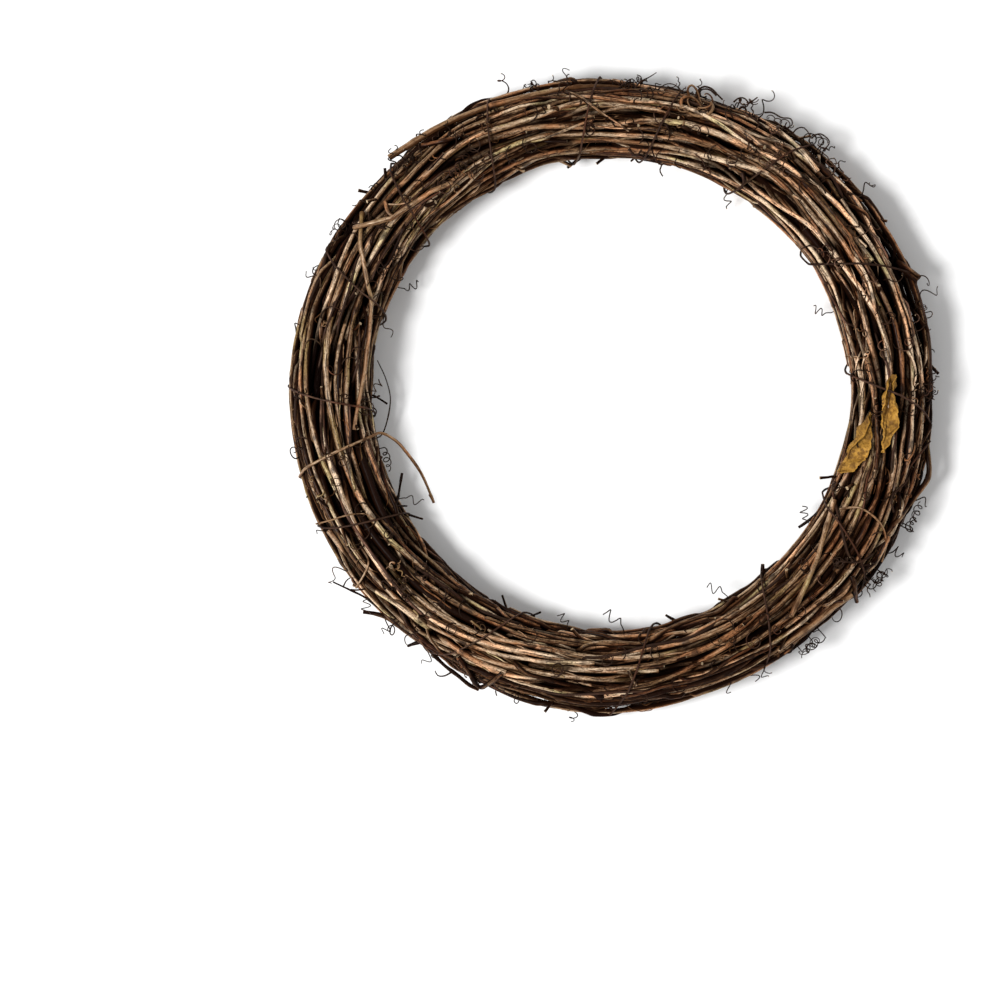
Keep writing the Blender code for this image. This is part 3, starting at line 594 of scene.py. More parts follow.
def read_stem(node, tone):
    """A shorter stem. Its shoots' end faces have fewer corners than its own."""
    corners = Corners(node)
    sides = max(len(end) for end in corners.regular)
    free = set(range(len(corners.points)))
    shoots = []
    for end in corners.regular:
        if len(end) < sides:
            shoots.append(corners.rings_from(end, free))
            free -= {i for ring in shoots[-1] for i in ring}
    ends = [end for end in corners.regular if len(end) == sides]
    rings = max((corners.rings_from(end, free) for end in ends), key=len)
    if sum(len(ring) for ring in rings) != len(free):
        raise RuntimeError(f"{node} was followed for {len(rings)} rings, which leaves corners over")
    return sorted_stem(corners, rings, shoots, tone)


def sorted_stem(corners, rings, shoots, tone):
    """A stem with its shoots rooted in its middle line, those with three sides as tendrils."""
    way = corners.way(rings, tone)
    stubs = [rooted(corners.way(shoot, tone), way) for shoot in shoots if len(shoot[0]) > TENDRIL_SIDES]
    tendrils = [rooted(corners.way(shoot, tone), way) for shoot in shoots if len(shoot[0]) == TENDRIL_SIDES]
    return Stem(way, stubs, tendrils)


def rooted(shoot, stem):
    """The shoot's way from the middle of its stem outwards."""
    root = shoot.points[-1]
    feet = [foot_on(root, a, b) for a, b in zip(stem.points, stem.points[1:])]
    foot = min(feet, key=lambda f: (f - root).length)
    return Way([foot] + shoot.points[::-1], [shoot.radii[-1]] + shoot.radii[::-1], shoot.tone)


def foot_on(point, a, b):
    """The nearest point to this one on the stretch from a to b."""
    t = (point - a).dot(b - a) / (b - a).length_squared
    return a.lerp(b, min(1, max(0, t)))


# Nodes, for shaders and for shapes alike


class Value:
    """A node's output. Sums written with it add Math nodes."""

    def __init__(self, tree, socket):
        self.tree = tree
        self.socket = socket

    def __add__(self, other):
        return self.tree.sum("ADD", self, other)

    def __radd__(self, other):
        return self.tree.sum("ADD", other, self)

    def __sub__(self, other):
        return self.tree.sum("SUBTRACT", self, other)

    def __rsub__(self, other):
        return self.tree.sum("SUBTRACT", other, self)

    def __mul__(self, other):
        return self.tree.sum("MULTIPLY", self, other)

    def __rmul__(self, other):
        return self.tree.sum("MULTIPLY", other, self)

    def __truediv__(self, other):
        return self.tree.sum("DIVIDE", self, other)

    def __rtruediv__(self, other):
        return self.tree.sum("DIVIDE", other, self)

    def also(self, name):
        """Another output of the same node."""
        return Value(self.tree, self.socket.node.outputs[name])


class Tree:
    """A node tree that is built one node at a time."""

    def __init__(self, made):
        self.made = made

    def node(self, kind, settings=None, values=None, out=None):
        """One node: its settings, then the values or links of its sockets. Gives one of its outputs."""
        made = self.made.nodes.new(kind)
        for name, setting in (settings or {}).items():
            if name == "stops":
                self.set_stops(made.color_ramp, setting)
            else:
                setattr(made, name, setting)
        sockets = [socket for socket in made.inputs if socket.enabled]
        for name, value in (values or {}).items():
            socket = sockets[name] if isinstance(name, int) else next(s for s in sockets if s.name == name)
            if isinstance(value, Value):
                self.made.links.new(value.socket, socket)
            else:
                socket.default_value = value
        shown = [socket for socket in made.outputs if socket.enabled]
        chosen = next(s for s in shown if out in (None, s.name)) if shown else None
        return Value(self, chosen)

    def set_stops(self, ramp, stops):
        while len(ramp.elements) < len(stops):
            ramp.elements.new(1.0)
        for element, (position, colour) in zip(ramp.elements, stops):
            element.position = position
            element.color = (*colour, 1.0)

    def sum(self, operation, *terms):
        return self.node("ShaderNodeMath", {"operation": operation}, dict(enumerate(terms)))

    def vector_sum(self, operation, *terms):
        return self.node("ShaderNodeVectorMath", {"operation": operation}, dict(enumerate(terms)))

    def scaled(self, vector, factor):
        """A vector times a number that may change from place to place."""
        return self.node("ShaderNodeVectorMath", {"operation": "SCALE"}, {"Vector": vector, "Scale": factor})

    def clamped(self, value):
        return self.node("ShaderNodeClamp", None, {"Value": value})

    def between(self, value, low, high):
        """0 where the value is low, 1 where it is high, and a smooth step from one to the other."""
        settings = {"interpolation_type": "SMOOTHSTEP"}
        return self.node("ShaderNodeMapRange", settings, {"Value": value, "From Min": low, "From Max": high})

    def noise(self, place, scale, detail=2.0, roughness=0.5):
        values = {"Vector": place, "Scale": scale, "Detail": detail, "Roughness": roughness}
        return self.node("ShaderNodeTexNoise", None, values)

    def mixed(self, factor, a, b, blend="MIX"):
        """One colour over another."""
        settings = {"data_type": "RGBA", "blend_type": blend}
        return self.node("ShaderNodeMix", settings, {"Factor": factor, "A": a, "B": b})


# Materials

# How often the bark's patterns repeat in a metre, across a stem both ways and along it. The pits repeat as
# often each way
PATCH_SCALE = (160.0, 160.0, 18.0)
CAST_SCALE = (102.0, 102.0, 34.0)
STREAK_SCALE = (900.0, 900.0, 60.0)
FIBRE_SCALE = (2600.0, 2600.0, 330.0)
PIT_SCALE = 1100.0

# How much a stem's tone and each pattern count in the shade of its bark. Its crest gets a painted highlight
# by how far it faces outwards more than this, and painted shade by how far less
TONE_WEIGHT = 0.85
PATCH_WEIGHT = 0.95
STREAK_WEIGHT = 0.75
FIBRE_WEIGHT = 0.9
CREST_LIGHT_WEIGHT = 0.60
CREST_LIGHT_MIDDLE = 0.80

# The marks on the bark: the value of the pattern where each starts and where it is full
OLIVE_FROM = (0.57, 0.68)
RED_FROM = (0.52, 0.40)
FURROW_FROM = (0.49, 0.36)
PIT_FROM = (0.56, 0.66)
PIT_SUNK_FROM = (0.54, 0.66)
KNUCKLE_FROM = (0.15, 0.7)

# Bark that has turned this far from facing outwards gets painted shade, on the flanks of each cane
FLANK_SHADE_FROM = (0.55, 0.0)

# Bark this far under the tops of the canes gets painted shade too, and further down deep painted shade
DEPTH_SHADE_FROM = (0.0004, 0.0020)
DEEP_SHADE_FROM = (0.0024, 0.0046)
DEEP_SHADE_COLOUR = (0.0030, 0.0008, 0.0003)

# How much of the bark's own colour a full mark takes away
FURROW_SHARE = 0.8
PIT_SHARE = 0.65
KNUCKLE_SHARE = 0.7
FLANK_SHADE_SHARE = 0.6
DEPTH_SHADE_SHARE = 0.8

# What some stretches of the bark are multiplied with
OLIVE_CAST = (0.95, 1.02, 0.76)
RED_CAST = (1.22, 0.92, 0.74)

# The bark's satin sheen, how blurred it is, the depth under the tops of the canes where it is gone and where
# it is full, how much of it the darkest bark still has, and the gloss of the bark itself
CANE_SHEEN = 0.30
THIN_SHEEN = 0.12
SHEEN_ROUGHNESS = 0.34
SHEEN_FROM = (0.0015, 0.0003)
DARK_SHEEN = 0.2
BARK_SPECULAR = 0.02

# How the canes' bark changes by place, more and more up to this reach from the middle: the upper right is
# paler and the lower right darker, the right is a little paler, the top and most of all the upper left are
# darker, and the left is more olive
PLACE_SHIFT_REACH = 0.15
UPPER_RIGHT_PALER = 0.50
RIGHT_PALER = 0.06
TOP_DARKER = 0.07
UPPER_LEFT_DARKER = 0.2
LEFT_OLIVE = 0.05


# How often the patterns of cut wood, of the leaves and of the floor repeat in a metre
PORE_SCALE = 2600.0
STAIN_SCALE = 300.0
BLOTCH_SCALE = 90.0
MOTTLE_SCALE = 260.0
SPECK_SCALE = 620.0
NET_SCALE = 900.0
FLOOR_SCALE = 400.0

# Where a leaf's brown marks start and are full, and their share then: its mottling and specks by the value of
# their pattern and its stalk end along it; across it, the painted shade along the crease of its rib
MOTTLED = (0.42, 0.60), 0.8
STALK_END = (0.45, 0.1), 0.45
SPECKED = (0.50, 0.66), 0.5
RIB_PAINTED_SHADE = (0.14, 0.0), 0.8


def new_shader(name):
    """A material with only its output, and the tree to build it with."""
    material = bpy.data.materials.new(name)
    material.use_nodes = True
    material.node_tree.nodes.clear()
    return material, Tree(material.node_tree)


def finish_shader(tree, colour, roughness, normal, specular=0.5, sheen=0.0):
    """Ends a material with its surface, which may have a sheen over it."""
    values = {"Base Color": colour, "Roughness": roughness, "Normal": normal, "Specular IOR Level": specular}
    values.update({"Coat Weight": sheen, "Coat Roughness": SHEEN_ROUGHNESS})
    surface = tree.node("ShaderNodeBsdfPrincipled", None, values)
    tree.node("ShaderNodeOutputMaterial", None, {"Surface": surface})


def rgba(colour):
    return (*colour, 1.0)


def attribute(t, name, out="Fac"):
    """A value that the stems' shape keeps at each of its points."""
    return t.node("ShaderNodeAttribute", {"attribute_name": name}, out=out)


def pattern(t, bark, scale, detail=2.0, roughness=0.5):
    """A noise that follows the stems."""
    return t.noise(t.vector_sum("MULTIPLY", bark, scale), 1.0, detail, roughness)


def bark_material(name, stops, furrow_and_shade, roughness, depth, sheen=CANE_SHEEN):
    """Dry bark, whose colour goes from stem to stem and along each, with casts, furrows, pits and fibres,
    and with painted highlights on the crests and painted shade on the flanks and in the gaps.
    """
    material, t = new_shader(name)
    place = t.node("ShaderNodeTexCoord", out="Object")
    sunk = attribute(t, "sunk")
    crest = attribute(t, "crest")
    bark = attribute(t, "bark", "Vector")
    patches = pattern(t, bark, PATCH_SCALE, 3.0, 0.6)
    streaks = pattern(t, bark, STREAK_SCALE, 3.0, 0.6)
    fibres = pattern(t, bark, FIBRE_SCALE, 2.0, 0.6)
    pits = t.noise(place, PIT_SCALE, 2.0, 0.7)
    paler_by_place, olive = paleness_by_place(t, place)
    grain = (patches - 0.5) * PATCH_WEIGHT + (streaks - 0.5) * STREAK_WEIGHT + (fibres - 0.5) * FIBRE_WEIGHT
    # A painted highlight on each cane's crest and painted shade on its flanks, so that it looks round
    raised = (crest - CREST_LIGHT_MIDDLE) * CREST_LIGHT_WEIGHT
    shade = t.clamped(attribute(t, "tone") * TONE_WEIGHT + raised + grain + paler_by_place)
    cast = pattern(t, bark, CAST_SCALE) + olive
    colour = t.node("ShaderNodeValToRGB", {"stops": stops}, {0: shade})
    colour = t.mixed(t.between(cast, *OLIVE_FROM), colour, rgba(OLIVE_CAST), "MULTIPLY")
    colour = t.mixed(t.between(cast, *RED_FROM), colour, rgba(RED_CAST), "MULTIPLY")
    furrows = t.between(streaks + (fibres - 0.5) * 0.4, *FURROW_FROM)
    colour = t.mixed(furrows * FURROW_SHARE, colour, rgba(furrow_and_shade))
    # Furrows, pits and knuckles are dark marks of the bark; flanks and deep-lying bark get painted shade
    for value, edges, share in (
        (pits, PIT_FROM, PIT_SHARE),
        (attribute(t, "knuckle"), KNUCKLE_FROM, KNUCKLE_SHARE),
        (crest, FLANK_SHADE_FROM, FLANK_SHADE_SHARE),
        (sunk, DEPTH_SHADE_FROM, DEPTH_SHADE_SHARE),
    ):
        colour = t.mixed(t.between(value, *edges) * share, colour, rgba(furrow_and_shade))
    # Deeper still the bark is painted nearly black, as painted shade in the gaps between the canes
    colour = t.mixed(t.between(sunk, *DEEP_SHADE_FROM), colour, rgba(DEEP_SHADE_COLOUR))
    gloss = t.clamped(roughness + (fibres - 0.5) * 0.6 + furrows * 0.25)
    height = streaks * 0.7 + fibres * 0.5 - t.between(pits, *PIT_SUNK_FROM) * 0.3
    bump = t.node("ShaderNodeBump", None, {"Strength": 1.0, "Distance": depth, "Height": height})
    satin = t.between(sunk, *SHEEN_FROM) * (shade * (1 - DARK_SHEEN) + DARK_SHEEN) * sheen
    finish_shader(t, colour, gloss, bump, BARK_SPECULAR, satin)
    return material


def paleness_by_place(t, place):
    """How much paler the bark is at a place in plan, and how much more olive."""
    x = t.node("ShaderNodeSeparateXYZ", None, {"Vector": place}, out="X")
    right, left = t.clamped(x / PLACE_SHIFT_REACH), t.clamped(x / -PLACE_SHIFT_REACH)
    upwards = x.also("Y") / PLACE_SHIFT_REACH
    paler_by_place = right * (upwards * UPPER_RIGHT_PALER + RIGHT_PALER)
    darker_by_place = t.clamped(upwards) * (left * UPPER_LEFT_DARKER + TOP_DARKER)
    return paler_by_place - darker_by_place, left * LEFT_OLIVE


def cut_wood_material(name, colour, dark):
    """The pale end of a cut cane, with its pores."""
    material, t = new_shader(name)
    place = t.node("ShaderNodeTexCoord", out="Object")
    pores = t.noise(place, PORE_SCALE, 2.0, 0.6)
    stain = t.noise(place, STAIN_SCALE, 2.0)
    shown = t.mixed(t.between(pores, 0.45, 0.62), rgba(colour), rgba(dark))
    shown = t.mixed(t.between(stain, 0.5, 0.75) * 0.6, shown, rgba(dark))
    bump = t.node("ShaderNodeBump", None, {"Strength": 0.6, "Distance": 0.0002, "Height": pores})
    finish_shader(t, shown, t.clamped(stain * 0.2 + 0.7), bump)
    return material


def leaf_material(name, pale, golden, brown):
    """A dry leaf: golden, with pale veins, brown mottling and specks, a brown stalk end, painted shade along
    its rib and a painted highlight along its rims.
    """
    material, t = new_shader(name)
    leaf = t.node("ShaderNodeAttribute", {"attribute_name": "leaf"}, out="Vector")
    parts = t.node("ShaderNodeSeparateXYZ", None, {"Vector": leaf}, out="X")
    along, across = parts, parts.also("Y")
    aside = t.sum("ABSOLUTE", across)
    place = t.node("ShaderNodeTexCoord", out="Object")
    mottle = t.noise(place, MOTTLE_SCALE, 4.0, 0.65)
    blotch = t.noise(place, BLOTCH_SCALE, 2.0)
    specks = t.noise(place, SPECK_SCALE, 3.0)
    rib = t.between(aside, 0.10, 0.02)
    row = t.sum("FRACT", (along - aside * VEIN_SLANT) * VEIN_ROWS)
    vein = t.between(t.sum("ABSOLUTE", row - 0.5), 0.12, 0.0) * t.between(aside, 1.0, 0.6)
    values = {"Vector": place, "Scale": NET_SCALE}
    cells = t.between(t.node("ShaderNodeTexVoronoi", {"feature": "DISTANCE_TO_EDGE"}, values), 0.10, 0.0)
    colour = t.mixed(t.between(blotch, 0.35, 0.65), rgba(golden), rgba(pale))
    marks = (mottle, MOTTLED), (along, STALK_END), (specks, SPECKED), (aside, RIB_PAINTED_SHADE)
    for value, (edges, share) in marks:
        colour = t.mixed(t.between(value, *edges) * share, colour, rgba(brown))
    # A painted highlight along the leaf's curled rims
    colour = t.mixed(t.between(aside, 0.86, 0.98) * 0.5, colour, rgba(pale))
    lines = t.clamped(rib + vein * 0.7 + cells * 0.25)
    colour = t.mixed(lines * 0.2, colour, rgba(pale))
    height = lines * 0.7 + mottle * 0.5
    bump = t.node("ShaderNodeBump", None, {"Strength": 0.8, "Distance": 0.0004, "Height": height})
    finish_shader(t, colour, t.clamped(mottle * 0.3 + 0.45), bump, 0.12)
    return material


def floor_material(colour):
    """A plain, pale floor with a hardly visible grain."""
    material, t = new_shader("pale_floor")
    place = t.node("ShaderNodeTexCoord", out="Object")
    grain = t.noise(place, FLOOR_SCALE, 2.0)
    shown = t.mixed(grain * 0.04, rgba(colour), rgba([0.9 * c for c in colour]))
    bump = t.node("ShaderNodeBump", None, {"Strength": 0.05, "Distance": 0.0002, "Height": grain})
    finish_shader(t, shown, t.clamped(grain * 0.1 + 0.6), bump, 0.2)
    return material


# Shapes made with Geometry Nodes


def new_group(name, inputs):
    """A shape's tree with named inputs, and the values of those inputs."""
    group = bpy.data.node_groups.new(name, "GeometryNodeTree")
    group.interface.new_socket("Geometry", in_out="INPUT", socket_type="NodeSocketGeometry")
    for label, kind, default in inputs:
        socket = group.interface.new_socket(label, in_out="INPUT", socket_type=f"NodeSocket{kind}")
        if default is not None:
            socket.default_value = default
    group.interface.new_socket("Geometry", in_out="OUTPUT", socket_type="NodeSocketGeometry")
    tree = Tree(group)
    given = tree.node("NodeGroupInput")
    return group, tree, {s.name: Value(tree, s) for s in given.socket.node.outputs if s.name}


def finish_group(tree, geometry, material, cut=None):
    """Ends a shape's tree with its material, and another one on the flat ends of its stems."""
    geometry = tree.node("GeometryNodeRealizeInstances", None, {"Geometry": geometry})
    geometry = tree.node("GeometryNodeSetMaterial", None, {"Geometry": geometry, "Material": material})
    if cut:
        values = {"Geometry": geometry, "Selection": flat_ends(tree), "Material": cut}
        geometry = tree.node("GeometryNodeSetMaterial", None, values)
    tree.node("NodeGroupOutput", None, {0: geometry})


def flat_ends(tree):
    """The faces with more than four corners, which close a stem's ends."""
    corners = tree.node("GeometryNodeInputMeshFaceNeighbors", out="Vertex Count")
    settings = {"data_type": "INT", "operation": "GREATER_THAN"}
    return tree.node("FunctionNodeCompare", settings, {0: corners, 1: 4})


def named(tree, name, kind="FLOAT"):
    """A value that is kept at each point under this name."""
    return tree.node("GeometryNodeInputNamedAttribute", {"data_type": kind}, {"Name": name})


def stored(tree, geometry, name, value, kind="FLOAT"):
    """The geometry with this value kept at each point under a name."""
    values = {"Geometry": geometry, "Name": name, "Value": value}
    return tree.node("GeometryNodeStoreNamedAttribute", {"data_type": kind, "domain": "POINT"}, values)


# Where a stem's bark and knuckles start is shifted by so much of its tone, so that no two stems match
BARK_SHIFT = 17
KNUCKLE_SHIFT = 37

# How often the furrows repeat in a metre, across a stem both ways and along it
FURROW_SCALE = (620.0, 620.0, 38.0)


def build_stem_group():
    """Sweeps a barked, knuckled stem along every line of a mesh of edges."""
    group, t, given = new_group(
        "Barked Stem",
        (
            ("Step", "Float", 0.002),
            ("Sides", "Int", 12),
            ("Knuckle Spacing", "Float", 0.055),
            ("Knuckle Width", "Float", 0.0022),
            ("Knuckle Swelling", "Float", 0.35),
            ("Waver", "Float", 0.0012),
            ("Waver Length", "Float", 0.03),
            ("Unevenness", "Float", 0.35),
            ("Relief", "Float", 0.25),
            ("Bark", "Material", None),
            ("Cut Wood", "Material", None),
        ),
    )
    lines = t.node("GeometryNodeMeshToCurve", None, {0: given["Geometry"]})
    smooth = t.node("GeometryNodeCurveSplineType", {"spline_type": "CATMULL_ROM"}, {"Curve": lines})
    values = {"Curve": smooth, "Length": given["Step"]}
    resampled = t.node("GeometryNodeResampleCurve", {"mode": "LENGTH"}, values)
    tone = named(t, "tone")
    along = t.node("GeometryNodeSplineParameter", out="Length")
    knuckle = knuckle_field(t, along, tone, given)
    values = {"Vector": t.node("GeometryNodeInputPosition"), "Scale": 1 / given["Waver Length"]}
    sway = t.node("ShaderNodeTexNoise", None, values, out="Color")
    sway = t.scaled(t.vector_sum("SUBTRACT", sway, (0.5, 0.5, 0.5)), given["Waver"] * 2)
    stem = t.node("GeometryNodeSetPosition", None, {"Geometry": resampled, "Offset": sway})
    stem = stored(t, stem, "along", along)
    stem = stored(t, stem, "knuckle", knuckle)
    unevenness = t.noise(t.node("GeometryNodeInputPosition"), 1 / given["Waver Length"], 2.0) - 0.5
    stem = stored(t, stem, "thick", named(t, "thick") * (unevenness * given["Unevenness"] * 2 + 1))
    thick = named(t, "thick")
    radius = thick * (named(t, "knuckle") * given["Knuckle Swelling"] + 1)
    profile = round_profile(t, given["Sides"])
    values = {"Curve": stem, "Profile Curve": profile, "Scale": radius, "Fill Caps": True}
    mesh = t.node("GeometryNodeCurveToMesh", None, values)
    across = t.scaled(named(t, "across", "FLOAT_VECTOR"), thick)
    onward = t.node("ShaderNodeCombineXYZ", None, {"Z": named(t, "along") + tone * BARK_SHIFT})
    mesh = stored(t, mesh, "bark", t.vector_sum("ADD", across, onward), "FLOAT_VECTOR")
    # Depth under the canes' tops and facing outwards, which the bark reads for painted shade and highlights
    mesh = stored(t, mesh, "sunk", named(t, "cover") - section_distance(t))
    mesh = stored(t, mesh, "crest", faces_outwards(t))
    furrows = pattern(t, named(t, "bark", "FLOAT_VECTOR"), FURROW_SCALE)
    raised = t.scaled(t.node("GeometryNodeInputNormal"), (furrows - 0.5) * thick * given["Relief"])
    mesh = t.node("GeometryNodeSetPosition", None, {"Geometry": mesh, "Offset": raised})
    walls = t.node("FunctionNodeBooleanMath", {"operation": "NOT"}, {0: flat_ends(t)})
    mesh = t.node("GeometryNodeSetShadeSmooth", None, {0: mesh, "Shade Smooth": walls})
    finish_group(t, mesh, given["Bark"], given["Cut Wood"])
    return group


def section_place(t):
    """Each point's place in plan, its distance from the ring's axis, and its height over the middle line."""
    x = t.node("ShaderNodeSeparateXYZ", None, {"Vector": t.node("GeometryNodeInputPosition")}, out="X")
    y = x.also("Y")
    return x, y, t.sum("SQRT", x * x + y * y), x.also("Z") - RING_HEIGHT


def section_distance(t):
    """How far each point is from the middle line of the bundle."""
    _, _, from_axis, above = section_place(t)
    aside = from_axis - RING_RADIUS
    return t.sum("SQRT", aside * aside + above * above)


def faces_outwards(t):
    """1 where a surface faces straight out of the bundle, 0 where sideways, and less where it faces in."""
    x, y, from_axis, above = section_place(t)
    share = (from_axis - RING_RADIUS) / from_axis
    out = t.node("ShaderNodeCombineXYZ", None, {"X": x * share, "Y": y * share, "Z": above})
    terms = {0: t.vector_sum("NORMALIZE", out), 1: t.node("GeometryNodeInputNormal")}
    return t.node("ShaderNodeVectorMath", {"operation": "DOT_PRODUCT"}, terms, out="Value")


def knuckle_field(t, along, tone, given):
    """How much of a knuckle there is at this distance along a stem, from 0 to 1."""
    turn = along / given["Knuckle Spacing"] + tone * KNUCKLE_SHIFT
    chance = t.node("ShaderNodeTexWhiteNoise", {"noise_dimensions": "1D"}, {"W": t.sum("FLOOR", turn)})
    away = (t.sum("FRACT", turn) - 0.3 - chance * 0.4) * given["Knuckle Spacing"] / given["Knuckle Width"]
    return t.sum("EXPONENT", away * away * -1) * (chance * 0.7 + 0.3)


def round_profile(t, sides):
    """A circle that knows the way out at each point, so that a pattern can go round without a seam."""
    circle = t.node("GeometryNodeCurvePrimitiveCircle", None, {"Resolution": sides, "Radius": 1.0})
    return stored(t, circle, "across", t.node("GeometryNodeInputPosition"), "FLOAT_VECTOR")


def line_object(name, ways):
    """A mesh of edges along the ways, which keeps how thick each point's stem is, and its tone."""
    points, edges, thick, tones = [], [], [], []
    for way in ways:
        first = len(points)
        points += way.points
        edges += [(i, i + 1) for i in range(first, len(points) - 1)]
        thick += way.radii
        tones += [way.tone] * len(way.points)
    mesh = bpy.data.meshes.new(name)
    mesh.from_pydata(points, edges, [])
    kept_values = {"thick": thick, "tone": tones, "cover": [BUNDLE.cover(point) for point in points]}
    for label, values in kept_values.items():
        mesh.attributes.new(label, "FLOAT", "POINT").data.foreach_set("value", values)
    return link(bpy.data.objects.new(name, mesh))


def link(obj):
    bpy.context.scene.collection.objects.link(obj)
    return obj


def grown(obj, group, inputs):
    """Puts the shape that a Geometry Nodes tree makes of an object in the object's own mesh."""
    modifier = obj.modifiers.new(group.name, "NODES")
    modifier.node_group = group
    for item in group.interface.items_tree:
        if item.in_out == "INPUT" and item.name in inputs:
            modifier[item.identifier] = inputs[item.name]
    graph = bpy.context.evaluated_depsgraph_get()
    made = bpy.data.meshes.new_from_object(obj.evaluated_get(graph))
    obj.modifiers.clear()
    obj.data = made
    for spare in ("thick", "along", "across", "cover"):
        if spare in made.attributes:
            made.attributes.remove(made.attributes[spare])
    if not made.polygons:
        raise RuntimeError(f"{obj.name} came out with no faces")
    return obj


def finished(obj, nodes=()):
    """Sets a finished piece on the wreath, in place of the frame's nodes that it stands for."""
    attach(obj, BODY)
    if nodes:
        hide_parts(*nodes)
    return obj


# The wound bundle as a whole


class Bundle:
    """The outside of the wound canes, met by looking in from all round the ring's section."""

    def __init__(self, ways):
        corners, faces = [], []
        for way in ways:
            self.add_tube(corners, faces, slimmer(way, SLIM_CANE))
        self.tree = BVHTree.FromPolygons(corners, faces)

    def add_tube(self, corners, faces, way):
        """A plain tube along the same smooth line that a cane's bark is swept along."""
        last = (len(way.points) - 1) * TUBE_STEPS
        line = smooth_through(way.points, last)
        for i, point in enumerate(line):
            ahead = (line[min(i + 1, last)] - line[max(i - 1, 0)]).normalized()
            side = ahead.cross(UP).normalized()
            rise = side.cross(ahead)
            for angle in (FULL_TURN * n / TUBE_SIDES for n in range(TUBE_SIDES)):
                out = side * math.cos(angle) + rise * math.sin(angle)
                corners.append(point + out * way.radii[i // TUBE_STEPS])
        first = len(corners) - (last + 1) * TUBE_SIDES
        for low in range(first, len(corners) - TUBE_SIDES, TUBE_SIDES):
            for n in range(TUBE_SIDES):
                beside = (n + 1) % TUBE_SIDES
                faces.append((low + n, low + beside, low + TUBE_SIDES + beside, low + TUBE_SIDES + n))

    def surface(self, turn, lean):
        """The outermost point of the canes at this turn round the ring and this lean round its section."""
        out = outwards(turn, lean)
        found = self.tree.ray_cast(section_centre(turn) + out * OUTSIDE, -out, OUTSIDE)[0]
        return found or section_centre(turn)

    def height(self, turn, lean):
        return (self.surface(turn, lean) - section_centre(turn)).length

    def cover(self, point):
        """How far the highest canes beside a point stand from the middle of the section."""
        turn, lean, _ = section_of(point)
        return max(self.height(turn, lean + COVER_REACH * side / 2) for side in range(-2, 3))

    def clear(self, point, radius):
        """The point, moved out if it would lie under the canes' surface."""
        turn, lean, height = section_of(point)
        needed = self.height(turn, lean) + radius
        return point if height > needed else section_centre(turn) + outwards(turn, lean) * needed

    def top(self, x, y):
        """The canes' upper surface at a place in plan, or nothing where there are no canes."""
        return self.tree.ray_cast(Vector((x, y, OUTSIDE)), -UP)[0]


def section_centre(turn):
    return Vector((RING_RADIUS * math.cos(turn), RING_RADIUS * math.sin(turn), RING_HEIGHT))


def outwards(turn, lean):
    """Away from the middle of the section: lean 0 is away from the ring's axis, and a quarter turn is up."""
    return Vector((math.cos(turn), math.sin(turn), 0)) * math.cos(lean) + UP * math.sin(lean)


def along_ring(turn):
    return Vector((-math.sin(turn), math.cos(turn), 0))


def section_of(point):
    """The turn, the lean and the distance from the middle of the section."""
    aside = math.hypot(point.x, point.y) - RING_RADIUS
    above = point.z - RING_HEIGHT
    return math.atan2(point.y, point.x), math.atan2(above, aside), math.hypot(aside, above)


def at_pixel(pixel):
    """The place in plan that a pixel of the photograph shows."""
    return (pixel[0] - AXIS_PIXEL[0]) * PIXEL, (AXIS_PIXEL[1] - pixel[1]) * PIXEL


# What lies on the bundle


def slimmer(way, share):
    """The same way with thinner radii."""
    return Way(way.points, [radius * share for radius in way.radii], way.tone)


def is_long_shoot(way, stem):
    """Whether a way is one of the stem's shoots, and a long one."""
    return way is not stem.way and (way.points[-1] - way.points[0]).length > LONG_SHOOT


def around(values, i, reach):
    """The values beside one of a list, with that one."""
    return values[max(0, i - reach) : i + reach + 1]


def mean(values):
    return sum(values) / len(values)


def sizes(way, radius, taper=1.0):
    """A way's radii from its root to its tip, which is thinner by the taper."""
    last = len(way) - 1
    return [radius * (1 - (1 - taper) * i / last) for i in range(last + 1)]


def runner_way(draw, turn, span, lean, drift, radius, lift):
    """A stem along the bundle, so far above the canes' surface or under it, with both ends tucked in."""
    steps = max(RUNNER_FEWEST, int(span * RING_RADIUS / RUNNER_STEP))
    waves, phase = draw.uniform(*RUNNER_WAVES) * FULL_TURN, draw.uniform(0, FULL_TURN)
    swing = RUNNER_SWING * span
    shares = [i / steps for i in range(steps + 1)]
    turns = [turn + span * share for share in shares]
    leans = [lean + drift * share + swing * math.sin(waves * share + phase) for share in shares]
    bare = [BUNDLE.height(*place) for place in zip(turns, leans)]
    taut = [max(around(bare, i, RUNNER_REACH)) for i in range(steps + 1)]
    points = []
    for i, place in enumerate(zip(turns, leans)):
        tucked = RUNNER_TUCK * max(0, 1 - min(i, steps - i) / RUNNER_REACH)
        height = mean(around(taut, i, RUNNER_REACH)) + lift - tucked
        points.append(section_centre(place[0]) + outwards(*place) * height)
    return Way(points, [radius] * len(points), draw.random())


